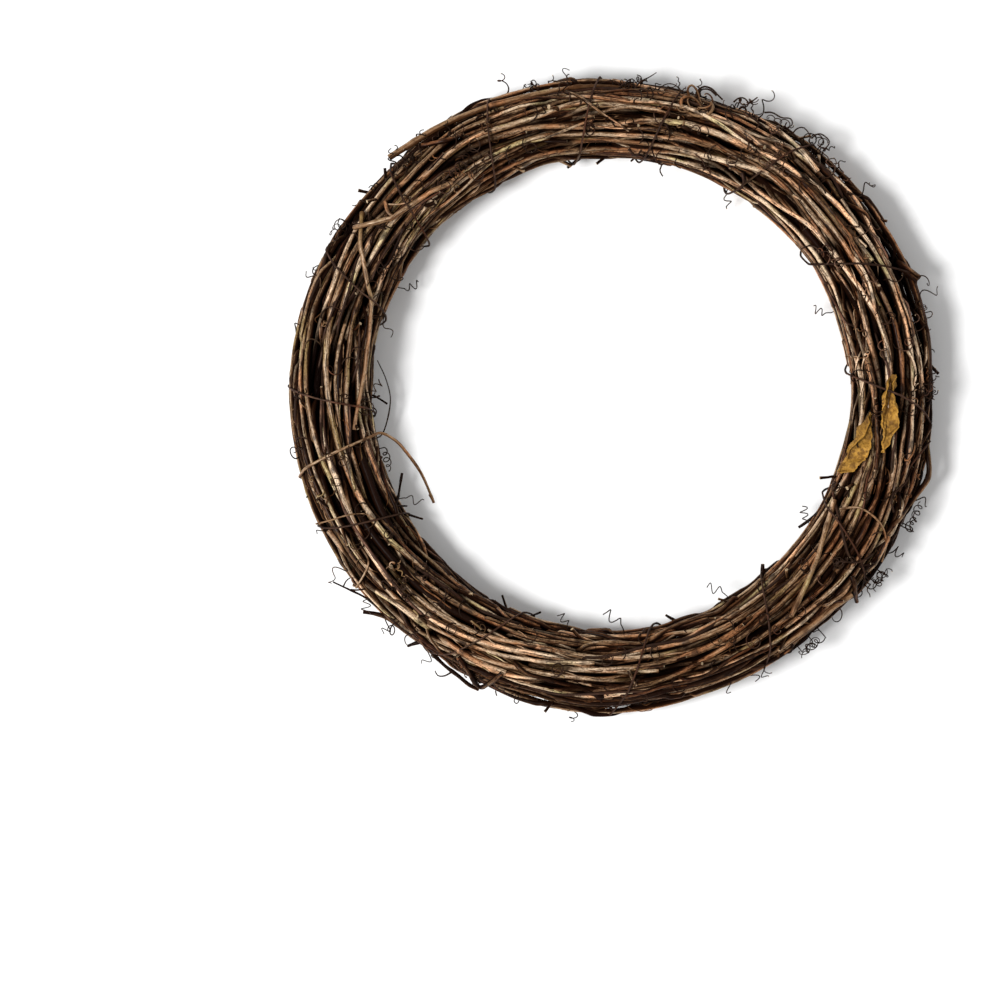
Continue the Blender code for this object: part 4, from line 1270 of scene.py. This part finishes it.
def curl_way(draw, turn, lean, curl):
    """A tendril that springs from the bundle's surface and winds up ever more tightly."""
    foot = BUNDLE.surface(turn, lean)
    out = outwards(turn, lean)
    forward = along_ring(turn) * draw.choice((-1, 1)) * draw.uniform(*CURL_FORWARD)
    heading = (out * curl.rise + forward).normalized()
    axis = (out * curl.facing + UP * (1 - curl.facing) + spread(draw, CURL_SCATTER)).normalized()
    axis *= draw.choice((-1, 1))
    length = draw.uniform(*curl.length)
    steps = int(length / CURL_STEP)
    opened, wound = draw.uniform(*curl.opened), draw.uniform(*curl.wound)
    pitch = draw.uniform(*curl.pitch)
    points = [foot - out * CURL_ROOT, foot.copy()]
    for i in range(steps):
        share = i / steps
        bend = CURL_STEP / (opened + (wound - opened) * share**CURL_TIGHTENING)
        axis = (axis - heading * axis.dot(heading)).normalized()
        axis = Matrix.Rotation(bend * pitch, 3, heading) @ axis
        if draw.random() < CURL_CHANGES:
            axis = (axis + spread(draw, CURL_CHANGE)).normalized()
        heading = (Matrix.Rotation(bend, 3, axis) @ heading).normalized()
        points.append(laid_clear(points[-1] + heading * CURL_STEP, curl.radius))
    return Way(points, sizes(points, curl.radius, CURL_TAPER), draw.random())


def laid_clear(point, radius):
    """A point of a tendril, moved off the canes and off the floor where it would lie in them."""
    moved = BUNDLE.clear(point, radius * TENDRIL_CLEARANCE)
    moved.z = max(moved.z, LOWEST)
    return moved


def coil_way(draw, start, end, coil):
    """A tendril that winds in loops from one place beside the bundle to another."""
    loop = draw.uniform(*coil.loop)
    loops = max(COIL_FEWEST, (end - start).length / draw.uniform(*coil.advance))
    facing = (UP + (end - start).normalized() * COIL_TILT + spread(draw, COIL_SCATTER)).normalized()
    onward = (end - start).cross(facing).normalized()
    beside = facing.cross(onward)
    steps = int(loops * FULL_TURN * loop / CURL_STEP)
    phase, sense = draw.uniform(0, FULL_TURN), draw.choice((-1, 1))
    points = []
    for i in range(steps + 1):
        share = i / steps
        angle = phase + sense * share * loops * FULL_TURN
        swelling = COIL_SWELLING * math.sin(share * loops * COIL_BEAT + phase)
        reach = loop * (1 + swelling - COIL_NARROWING * share)
        place = start.lerp(end, share) + (onward * math.cos(angle) + beside * math.sin(angle)) * reach
        points.append(laid_clear(place, coil.radius))
    turn, lean, _ = section_of(points[0])
    root = BUNDLE.surface(turn, lean) - outwards(turn, lean) * CURL_ROOT
    points = [root] + points
    return Way(points, sizes(points, coil.radius, COIL_TAPER), draw.random())


def spread(draw, reach):
    """A step in any direction, up to this far each way."""
    return Vector([draw.uniform(-reach, reach) for _ in range(3)])


def stays_near(way):
    """Whether a way keeps within the little that the dressed wreath may stand out of the frame's box."""
    low, high = FRAME_BOX
    beside = all(low[k] - PROUD <= p[k] <= high[k] + PROUD for p in way.points for k in (0, 1))
    return beside and all(p.z <= high.z for p in way.points)


def drawn_curls(draw, number, turn_range, lean_range, curl):
    """So many tendrils within a stretch of the bundle."""
    ways = []
    while len(ways) < number:
        way = curl_way(draw, draw.uniform(*turn_range), draw.uniform(*lean_range), curl)
        if stays_near(way):
            ways.append(way)
    return ways


def twig_way(draw, turn, lean, length, radius):
    """A broken side shoot, leaning along the canes."""
    out = outwards(turn, lean)
    forward = along_ring(turn) * draw.choice((-1, 1))
    heading = (forward + out * draw.uniform(*TWIG_RISE) + spread(draw, TWIG_SCATTER)).normalized()
    bow = spread(draw, TWIG_BOW)
    points = [BUNDLE.surface(turn, lean) - out * radius]
    for _ in range(TWIG_STEPS):
        heading = (heading + bow / TWIG_STEPS).normalized()
        points.append(points[-1] + heading * (length / TWIG_STEPS))
    return Way(points, sizes(points, radius, TWIG_TAPER), draw.random())


def pictured_way(item):
    """A vine drawn through pixels of the photograph, lying on the canes, and level where there are none."""
    corners = [Vector((*at_pixel(pixel), 0)) for pixel in item.pixels]
    length = sum((b - a).length for a, b in zip(corners, corners[1:]))
    places = smooth_through(corners, max(PICTURED_FEWEST, int(length / PICTURED_STEP)))
    lift = item.radius * (SUNK_SHARE if item.kind == "cane" else 1)
    found = [BUNDLE.top(place.x, place.y) for place in places]
    heights = [top.z + lift if top else item.level for top in found]
    for _ in range(2):
        heights = [max(around(heights, i, 1)) for i in range(len(heights))]
        heights = [mean(around(heights, i, 1)) for i in range(len(heights))]
    points = [Vector((place.x, place.y, height)) for place, height in zip(places, heights)]
    return Way(points, sizes(points, item.radius, item.taper), item.tone)


def smooth_through(corners, count):
    """Evenly spread points of a smooth curve through the corners."""
    padded = [corners[0] * 2 - corners[1], *corners, corners[-1] * 2 - corners[-2]]
    spans = len(corners) - 1
    found = []
    for n in range(count + 1):
        at = min(n / count * spans, spans - 0.0001)
        i, t = int(at), at % 1
        a, b, c, d = padded[i : i + 4]
        bend = (a * 2 - b * 5 + c * 4 - d) * t**2 + (b * 3 - a - c * 3 + d) * t**3
        found.append((b * 2 + (c - a) * t + bend) / 2)
    return found


def nodes_called(*starts):
    """The frame's nodes whose names start with one of these."""
    return sorted(node for node in NODES if node.startswith(starts))


# The bundle's canes, without the shoots, ties and sticks
BUNDLE = Bundle(
    [read_cane(node, 0).way for node in nodes_called("core", "middle", "outer")]
    + [read_stem(node, 0).way for node in nodes_called("bowed")]
)


# Leaves


def eased(values, t):
    """The value at a share of the way through evenly spread ones, with smooth steps between them."""
    at = min(t, 0.9999) * (len(values) - 1)
    row, part = int(at), at % 1
    part = part * part * (3 - 2 * part)
    return values[row] * (1 - part) + values[row + 1] * part


class LeafShape:
    """A dry leaf on the canes, whose edges curl up. It rests as high as the frame's leaf does."""

    def __init__(self, leaf):
        self.leaf = leaf
        self.start, self.end = (Vector((*at_pixel(pixel), 0)) for pixel in (leaf.start, leaf.end))
        self.along = self.end - self.start
        self.side = self.along.normalized().cross(UP)
        lowest = {}
        for corner in NODES[leaf.node].data.vertices:
            row = round((corner.co - self.start).dot(self.along) / self.along.length_squared * LEAF_ROWS)
            lowest[row] = min(lowest.get(row, corner.co.z), corner.co.z)
        self.lowest = [lowest[min(max(row, min(lowest)), max(lowest))] for row in range(LEAF_ROWS + 1)]

    def point(self, t, across, raised):
        """A point of the leaf, raised from its smooth form."""
        half, sign = (self.leaf.left, 1) if across > 0 else (self.leaf.right, -1)
        slow = noise.noise(Vector((t * FRAY_SLOW, sign, 0)))
        quick = noise.noise(Vector((t * FRAY_QUICK, sign, 1)))
        frayed = 1 + LEAF_FRAYED * slow + LEAF_FRAYED * quick
        reach, curl, hem = eased(half.reach, t) * MM * frayed, eased(half.curl, t), eased(half.hem, t) * MM
        bend_radius = reach / math.sin(min(curl, math.pi / 2))
        gone = abs(across) * (bend_radius * curl + hem)
        bend = min(curl, gone / bend_radius)
        beyond = max(0, gone - bend_radius * curl)
        aside = bend_radius * math.sin(bend) + beyond * math.cos(bend)
        lift = bend_radius * (1 - math.cos(bend)) + beyond * math.sin(bend)
        facing = UP * math.cos(bend) - self.side * (sign * math.sin(bend))
        place = self.start.lerp(self.end, t) + self.side * (sign * aside)
        return place + UP * (eased(self.lowest, t) + lift) + facing * raised

    def raised(self, t, across):
        """Crinkles, the sunk rib and the veins that leave it."""
        aside = abs(across)
        vein = abs((t - aside * VEIN_SLANT) * VEIN_ROWS % 1 - 0.5) * 2
        crinkle = noise.noise(Vector((t * 11, across * 1.8, self.start.x))) * LEAF_CRINKLE * (0.3 + aside)
        crinkle += LEAF_FOLD * aside * (1 - aside) * math.sin((t * 3.5 - across * 0.6) * FULL_TURN)
        blister = noise.noise(Vector((t * 42, across * 7, 3))) * LEAF_BLISTER
        sunk = LEAF_RIB * math.exp(-((across * 14) ** 2)) + LEAF_VEIN * (1 - vein) ** 6
        return LEAF_LIFT + crinkle + blister - sunk

    def mesh(self):
        mesh = bpy.data.meshes.new(self.leaf.node)
        wide = LEAF_WIDE_STEPS + 1
        places, marks = [], []
        for i in range(LEAF_LONG_STEPS + 1):
            for j in range(wide):
                t, across = i / LEAF_LONG_STEPS, 2 * j / LEAF_WIDE_STEPS - 1
                places.append(self.point(t, across, self.raised(t, across)))
                marks += [t, across, 0.0]
        faces = [
            (i * wide + j, i * wide + j + 1, (i + 1) * wide + j + 1, (i + 1) * wide + j)
            for i in range(LEAF_LONG_STEPS)
            for j in range(LEAF_WIDE_STEPS)
        ]
        mesh.from_pydata(places, [], faces)
        mesh.attributes.new("leaf", "FLOAT_VECTOR", "POINT").data.foreach_set("vector", marks)
        mesh.shade_smooth()
        return mesh


# What a user would change


class WreathCanes(PropertyGroup):
    step: FloatProperty(
        name="Ring Spacing",
        description="From one ring of a stem's corners to the next",
        default=0.002,
        unit="LENGTH",
    )
    sides: IntProperty(name="Sides", description="Corners round an outer cane", default=12, min=6)
    knuckle_spacing: FloatProperty(
        name="Knuckle Spacing", description="Distance from knuckle to knuckle", default=0.055, unit="LENGTH"
    )
    swelling: FloatProperty(
        name="Knuckle Swelling", description="How much thicker a cane is at a knuckle", default=0.35
    )
    dark: FloatVectorProperty(
        name="Dark Bark", description="The darkest bark", default=(0.008, 0.0024, 0.0008), subtype="COLOR"
    )
    brown: FloatVectorProperty(
        name="Brown Bark", description="Middling bark", default=(0.054, 0.0215, 0.0080), subtype="COLOR"
    )
    tan: FloatVectorProperty(
        name="Tan Bark", description="Warm, lighter bark", default=(0.225, 0.128, 0.064), subtype="COLOR"
    )
    pale: FloatVectorProperty(
        name="Pale Bark", description="The palest bark", default=(0.52, 0.38, 0.255), subtype="COLOR"
    )


class WreathTies(PropertyGroup):
    colour: FloatVectorProperty(
        name="Vine",
        description="The vines that bind the bundle",
        default=(0.044, 0.022, 0.014),
        subtype="COLOR",
    )


class WreathRunners(PropertyGroup):
    number: IntProperty(name="Number", description="Thin vines that run along the bundle", default=70, min=0)
    deep_number: IntProperty(name="Deep Number", description="Stems between the canes", default=110, min=0)
    shreds: IntProperty(name="Shreds", description="Shreds of peeling bark", default=260, min=0)
    seed: IntProperty(name="Seed", description="Another seed lays them elsewhere", default=4)


class WreathTendrils(PropertyGroup):
    number: IntProperty(name="Number", description="Loose tendrils besides the clumps", default=210, min=0)
    seed: IntProperty(name="Seed", description="Another seed curls them otherwise", default=7)
    colour: FloatVectorProperty(
        name="Tendril", description="The wiry tendrils", default=(0.030, 0.015, 0.009), subtype="COLOR"
    )


class WreathTwigs(PropertyGroup):
    number: IntProperty(name="Number", description="Broken side shoots", default=90, min=0)
    seed: IntProperty(name="Seed", description="Another seed sets them elsewhere", default=11)
    cut: FloatVectorProperty(
        name="Cut Wood", description="The bare wood of a cut end", default=(0.50, 0.36, 0.21), subtype="COLOR"
    )


class WreathLeaves(PropertyGroup):
    thickness: FloatProperty(name="Thickness", description="Of a dry leaf", default=0.0004, unit="LENGTH")
    golden: FloatVectorProperty(
        name="Golden", description="Most of a leaf", default=(0.30, 0.155, 0.027), subtype="COLOR"
    )
    brown: FloatVectorProperty(
        name="Brown", description="Its mottling and edges", default=(0.080, 0.033, 0.007), subtype="COLOR"
    )


class WreathStage(PropertyGroup):
    floor: FloatVectorProperty(
        name="Floor", description="The floor's colour", default=(0.86, 0.86, 0.86), subtype="COLOR"
    )
    key_power: FloatProperty(
        name="Key Light", description="The large, soft light at the left", default=148.0, unit="POWER"
    )
    fill: FloatProperty(name="Fill", description="The even light from all round", default=0.6)
    lens: FloatProperty(name="Lens", description="The camera's focal length", default=200.0, unit="CAMERA")


SETTINGS = {
    "wreath_canes": WreathCanes,
    "wreath_ties": WreathTies,
    "wreath_runners": WreathRunners,
    "wreath_tendrils": WreathTendrils,
    "wreath_twigs": WreathTwigs,
    "wreath_leaves": WreathLeaves,
    "wreath_stage": WreathStage,
}


# The materials, each made once


def kept(name, make):
    """The material of this name, made when it is first wanted."""
    return bpy.data.materials.get(name) or make(name)


def times(colour, factor):
    """A colour that is lighter or darker by a factor."""
    return [min(1.0, factor * part) for part in colour]


def bark_stops(dark, low, middle, high):
    """The bark's colours from its darkest shade to its palest."""
    return (0.0, dark), (0.28, low), (0.60, middle), (0.90, high), (1.0, times(high, 1.6))


def cane_bark():
    look = bpy.context.scene.wreath_canes
    stops = bark_stops(look.dark, look.brown, look.tan, look.pale)
    return kept("Cane Bark", lambda name: bark_material(name, stops, look.dark, 0.5, 0.0006))


def pale_bark():
    look = bpy.context.scene.wreath_canes
    stops = bark_stops(look.brown, look.tan, look.tan, look.pale)
    return kept("Pale Bark", lambda name: bark_material(name, stops, look.brown, 0.5, 0.0004))


def thin_bark(name, colour, darkest, palest, roughness, depth):
    """The bark of a thin vine, which has one colour with darker and paler shades of it."""
    stops = bark_stops(times(colour, darkest), colour, colour, times(colour, palest))
    furrow_and_shade = times(colour, 0.4)
    return kept(name, lambda label: bark_material(label, stops, furrow_and_shade, roughness, depth, THIN_SHEEN))


def tie_bark():
    return thin_bark("Tie Bark", bpy.context.scene.wreath_ties.colour, 0.5, 2.6, 0.42, 0.0002)


def tendril_bark():
    return thin_bark("Tendril Bark", bpy.context.scene.wreath_tendrils.colour, 0.4, 3.4, 0.45, 0.0001)


def cut_wood():
    look = bpy.context.scene.wreath_twigs
    return kept("Cut Wood", lambda name: cut_wood_material(name, look.cut, times(look.cut, 0.3)))


def dry_leaf():
    look = bpy.context.scene.wreath_leaves
    pale = times(look.golden, 1.5)
    return kept("Dry Leaf", lambda name: leaf_material(name, pale, look.golden, look.brown))


def stem_group():
    return bpy.data.node_groups.get("Barked Stem") or build_stem_group()


def stems(name, ways, bark, slot, nodes=(), **sizes_by_name):
    """One piece with a barked stem along each of the ways."""
    inputs = {"Bark": bark, "Cut Wood": cut_wood()}
    inputs.update({label.replace("_", " ").title(): value for label, value in sizes_by_name.items()})
    return finished(grown(line_object(name, ways), stem_group(), inputs), nodes)


# Operators, one for each kind of piece


class WREATH_OT_stage(Operator):
    """Sets up the floor, the light and the camera straight above the wreath"""

    bl_idname = "wreath.stage"
    bl_label = "Stage"

    def execute(self, context):
        look = context.scene.wreath_stage
        context.scene.view_settings.view_transform = "Standard"
        add_floor(look.floor)
        add_light("key", KEY_PLACE, KEY_SIZE, look.key_power)
        world = bpy.data.worlds.new("even_light")
        world.use_nodes = True
        background = world.node_tree.nodes["Background"].inputs
        background["Color"].default_value = (1, 1, 1, 1)
        background["Strength"].default_value = look.fill
        context.scene.world = world
        add_camera(look.lens)
        return {"FINISHED"}


def add_floor(colour):
    """A square floor that the wreath lies on."""
    mesh = bpy.data.meshes.new("floor")
    corners = [(-FLOOR_REACH, -FLOOR_REACH, 0), (FLOOR_REACH, -FLOOR_REACH, 0)]
    corners += [(FLOOR_REACH, FLOOR_REACH, 0), (-FLOOR_REACH, FLOOR_REACH, 0)]
    mesh.from_pydata(corners, [], [(0, 1, 2, 3)])
    mesh.materials.append(floor_material(colour))
    link(bpy.data.objects.new("floor", mesh))


def add_light(name, place, size, power):
    """A round, soft light that is turned to the wreath."""
    light = bpy.data.lights.new(name, "AREA")
    light.shape = "DISK"
    light.size = size
    light.energy = power
    lamp = link(bpy.data.objects.new(name, light))
    lamp.location = place
    lamp.rotation_euler = (-place).to_track_quat("-Z", "Y").to_euler()


def add_camera(lens):
    """Straight above the middle of the photograph, at the distance where a pixel has its size."""
    camera = bpy.data.cameras.new("camera")
    camera.lens = lens
    distance = PICTURE_SIDE * PIXEL * lens / camera.sensor_width
    seat = link(bpy.data.objects.new("camera", camera))
    seat.location = (*at_pixel((PICTURE_SIDE / 2, PICTURE_SIDE / 2)), RING_HEIGHT + distance)
    bpy.context.scene.camera = seat


class WREATH_OT_canes(Operator):
    """Sweeps a barked stem along every cane of the bundle, with the stubs that grow from it"""

    bl_idname = "wreath.canes"
    bl_label = "Canes"

    def execute(self, context):
        look = context.scene.wreath_canes
        draw = random.Random(CANE_SEED)
        common = {"knuckle_spacing": look.knuckle_spacing, "knuckle_swelling": look.swelling}
        for node in nodes_called("core", "middle"):
            stem = read_cane(node, draw.uniform(*INNER_SHADED_TONES))
            self.grow(node, stem, step=look.step * INNER_STEP, sides=INNER_SIDES, **common)
        for node in nodes_called("outer"):
            stem = read_cane(node, draw.uniform(*OUTER_TONES))
            self.grow(node, stem, step=look.step, sides=look.sides, **common)
        for node in nodes_called("bowed"):
            stem = read_stem(node, draw.random())
            self.grow(node, stem, step=look.step * BOWED_STEP, sides=look.sides, **common)
        return {"FINISHED"}

    def grow(self, node, stem, **shape):
        """One cane with its stubs, and its tendrils as a piece of their own"""
        canes = [slimmer(way, SLIM_CANE) for way in (stem.way, *stem.stubs) if not is_long_shoot(way, stem)]
        shoots = [slimmer(way, SLIM_SHOOT) for way in stem.stubs if is_long_shoot(way, stem)]
        canes += [shoot._replace(tone=SHOOT_TONE) for shoot in shoots]
        stems(f"{node}_bark", canes, cane_bark(), "cane_bark", [node], **shape)
        if stem.tendrils:
            tendrils = [slimmer(way, SLIM_TENDRIL) for way in stem.tendrils]
            stems(f"{node}_tendrils", tendrils, tendril_bark(), "tie_bark", [node], **TENDRIL_LOOK)


class WREATH_OT_sticks(Operator):
    """Sweeps a pale stem along each loose stick"""

    bl_idname = "wreath.sticks"
    bl_label = "Sticks"

    def execute(self, context):
        look = context.scene.wreath_canes
        tones = random.Random(STICK_SEED)
        for node in nodes_called("crossing", "stick"):
            stem = read_stem(node, tones.uniform(*STICK_TONES))
            shape = {"step": look.step * STICK_STEP, "sides": look.sides, "knuckle_swelling": look.swelling}
            shape["knuckle_spacing"] = look.knuckle_spacing * STICK_KNUCKLES
            stems(f"{node}_bark", [stem.way, *stem.stubs], pale_bark(), "pale_bark", [node], **shape)
        return {"FINISHED"}


class WREATH_OT_ties(Operator):
    """Sweeps a thin dark vine along each tie, and a paler one along the vine that springs free"""

    bl_idname = "wreath.ties"
    bl_label = "Ties"

    def execute(self, context):
        tones = random.Random(TIE_SEED)
        for node in nodes_called("tie"):
            stem = read_stem(node, tones.random())
            stems(f"{node}_bark", [slimmer(stem.way, SLIM_TIE)], tie_bark(), "tie_bark", [node], **TIE_LOOK)
        free = read_stem("free_vine", FREE_VINE_TONE)
        stems("free_vine_bark", [free.way], pale_bark(), "pale_bark", ["free_vine"], **TIE_LOOK)
        return {"FINISHED"}


class WREATH_OT_runners(Operator):
    """Lays thin vines along the bundle, and the vines that the photograph shows one by one"""

    bl_idname = "wreath.runners"
    bl_label = "Runners"

    def execute(self, context):
        look = context.scene.wreath_runners
        draw = random.Random(look.seed)
        vines = self.laid(draw, look.number, THIN_LAYER)
        dark = [way for way in vines if way.radii[0] < DARK_BELOW]
        stems("dark_runners", dark, tie_bark(), "tie_bark", **TIE_LOOK)
        light = [way for way in vines if way.radii[0] >= DARK_BELOW]
        stems("light_runners", light, cane_bark(), "cane_bark", **TIE_LOOK)
        deep = self.laid(draw, look.deep_number, DEEP_LAYER)
        stems("deep_runners", deep, cane_bark(), "cane_bark", **DEEP_LOOK)
        shreds = self.laid(draw, look.shreds, SHRED_LAYER)
        stems("bark_shreds", shreds, pale_bark(), "pale_bark", **SHRED_LOOK)
        for kind, bark, slot in (
            ("cane", cane_bark(), "cane_bark"),
            ("vine", tie_bark(), "tie_bark"),
            ("pale vine", pale_bark(), "pale_bark"),
        ):
            ways = [pictured_way(item) for item in PICTURED if item.kind == kind]
            stems(f"loose_{kind.replace(' ', '_')}s", ways, bark, slot, **TIE_LOOK)
        return {"FINISHED"}

    def laid(self, draw, number, layer):
        """So many stems of one layer, all round the bundle"""
        ways = []
        for n in range(number):
            turn = FULL_TURN * (n + draw.random()) / number
            lean = math.radians(draw.uniform(*LAYER_LEANS))
            drift = math.radians(draw.uniform(-layer.drift, layer.drift))
            radius, span = draw.uniform(*layer.radius), draw.uniform(*layer.span)
            ways.append(runner_way(draw, turn, span, lean, drift, radius, layer.lift * radius))
        return ways


class WREATH_OT_tendrils(Operator):
    """Curls tendrils in clumps and in tight snarls, and more of them all over the bundle"""

    bl_idname = "wreath.tendrils"
    bl_label = "Tendrils"

    def execute(self, context):
        look = context.scene.wreath_tendrils
        draw = random.Random(look.seed)
        ways = []
        for clump in CLUMPS:
            ways += self.coils(draw, clump) + self.clump(draw, clump, RIM_CURL)
        for snarl in SNARLS:
            ways += self.clump(draw, snarl, SNARL_CURL)
        leans = [math.radians(lean) for lean in LOOSE_LEANS]
        ways += drawn_curls(draw, look.number, (0, FULL_TURN), leans, FLAT_CURL)
        stems("tendrils", ways, tendril_bark(), "tie_bark", **TENDRIL_LOOK)
        pale = self.clump(draw, KNOT, KNOT_CURL)
        for snarl in PALE_SNARLS:
            pale += self.clump(draw, snarl, SNARL_CURL)
        stems("pale_tendrils", pale, pale_bark(), "pale_bark", **TENDRIL_LOOK)
        return {"FINISHED"}

    def clump(self, draw, clump, curl):
        """Tendrils that curl from anywhere between the two ends of a clump"""
        (turn_a, lean_a), (turn_b, lean_b) = (self.spot(pixel) for pixel in (clump.start, clump.end))
        turn_b += FULL_TURN * round((turn_a - turn_b) / FULL_TURN)
        turns = min(turn_a, turn_b) - CLUMP_TURN_MARGIN, max(turn_a, turn_b) + CLUMP_TURN_MARGIN
        leans = min(lean_a, lean_b) - CLUMP_LEAN_MARGIN, max(lean_a, lean_b) + CLUMP_LEAN_MARGIN
        return drawn_curls(draw, clump.number, turns, leans, curl)

    def coils(self, draw, clump):
        """Tendrils that wind from near one end of a clump to near the other"""
        ways = []
        while len(ways) < clump.number:
            shares = draw.uniform(*COIL_STARTS), draw.uniform(*COIL_ENDS)
            places = [self.beside(draw, clump, share) for share in shares]
            draw.shuffle(places)
            way = coil_way(draw, *places, RIM_COIL)
            if stays_near(way):
                ways.append(way)
        return ways

    def beside(self, draw, clump, share):
        """A place on the bundle or just off it, at this share of the way along a clump"""
        along = [a + (b - a) * share for a, b in zip(clump.start, clump.end)]
        x, y = at_pixel([part + draw.uniform(-CLUMP_SCATTER, CLUMP_SCATTER) for part in along])
        found = BUNDLE.top(x, y)
        height = found.z if found else RING_HEIGHT
        return Vector((x, y, height + draw.uniform(*COIL_LIFT)))

    def spot(self, pixel):
        """The turn and the lean at which the bundle's surface shows at a pixel"""
        x, y = at_pixel(pixel)
        aside = (math.hypot(x, y) - RING_RADIUS) / BAND_HALF_WIDTH
        return math.atan2(y, x), math.acos(max(-FURTHEST_OUT, min(FURTHEST_OUT, aside)))


class WREATH_OT_twigs(Operator):
    """Sets broken side shoots on the bundle, and the twigs that the photograph shows one by one"""

    bl_idname = "wreath.twigs"
    bl_label = "Twigs"

    def execute(self, context):
        look = context.scene.wreath_twigs
        draw = random.Random(look.seed)
        ways = []
        for n in range(look.number):
            turn = FULL_TURN * (n + draw.random()) / look.number
            lean = math.radians(draw.uniform(*TWIG_LEANS))
            ways.append(twig_way(draw, turn, lean, draw.uniform(*TWIG_LENGTH), draw.uniform(*TWIG_RADIUS)))
        stems("broken_twigs", [way for way in ways if stays_near(way)], cane_bark(), "cane_bark", **TWIG_LOOK)
        pictured = [pictured_way(item) for item in PICTURED if item.kind == "twig"]
        stems("loose_twigs", pictured, cane_bark(), "cane_bark", **TWIG_LOOK)
        return {"FINISHED"}


class WREATH_OT_leaves(Operator):
    """Lays the two dry leaves on the right side"""

    bl_idname = "wreath.leaves"
    bl_label = "Leaves"

    def execute(self, context):
        look = context.scene.wreath_leaves
        for leaf in LEAVES:
            obj = link(bpy.data.objects.new(f"{leaf.node}_dry", LeafShape(leaf).mesh()))
            obj.data.materials.append(dry_leaf())
            wall = obj.modifiers.new("Thickness", "SOLIDIFY")
            wall.thickness = look.thickness
            wall.offset = 0
            graph = bpy.context.evaluated_depsgraph_get()
            made = bpy.data.meshes.new_from_object(obj.evaluated_get(graph))
            obj.modifiers.clear()
            obj.data = made
            finished(obj, [leaf.node])
        return {"FINISHED"}


OPERATORS = (
    WREATH_OT_stage,
    WREATH_OT_canes,
    WREATH_OT_sticks,
    WREATH_OT_ties,
    WREATH_OT_runners,
    WREATH_OT_tendrils,
    WREATH_OT_twigs,
    WREATH_OT_leaves,
)


class WREATH_PT_panel(Panel):
    """Lists the wreath's pieces and their settings"""

    bl_idname = "WREATH_PT_panel"
    bl_label = "Grapevine Wreath"
    bl_space_type = "VIEW_3D"
    bl_region_type = "UI"
    bl_category = "Wreath"

    def draw(self, context):
        for operator in OPERATORS:
            box = self.layout.box()
            box.operator(operator.bl_idname, text=operator.bl_label)
            look = getattr(context.scene, operator.bl_idname.replace(".", "_"), None)
            for name in getattr(look, "__annotations__", {}):
                box.prop(look, name)


def register():
    """Adds the settings, the operators and the panel."""
    for kind in (*SETTINGS.values(), *OPERATORS, WREATH_PT_panel):
        bpy.utils.register_class(kind)
    for name, kind in SETTINGS.items():
        setattr(bpy.types.Scene, name, PointerProperty(type=kind))


def unregister():
    """Takes them away again."""
    for name in SETTINGS:
        delattr(bpy.types.Scene, name)
    for kind in (WREATH_PT_panel, *OPERATORS, *SETTINGS.values()):
        bpy.utils.unregister_class(kind)


def main():
    """Makes every piece in turn."""
    register()
    for operator in OPERATORS:
        make = getattr(bpy.ops.wreath, operator.bl_idname.split(".")[1])
        if make() != {"FINISHED"}:
            raise RuntimeError(f"{operator.bl_label} didn't finish")


if __name__ == "__main__":
    main()
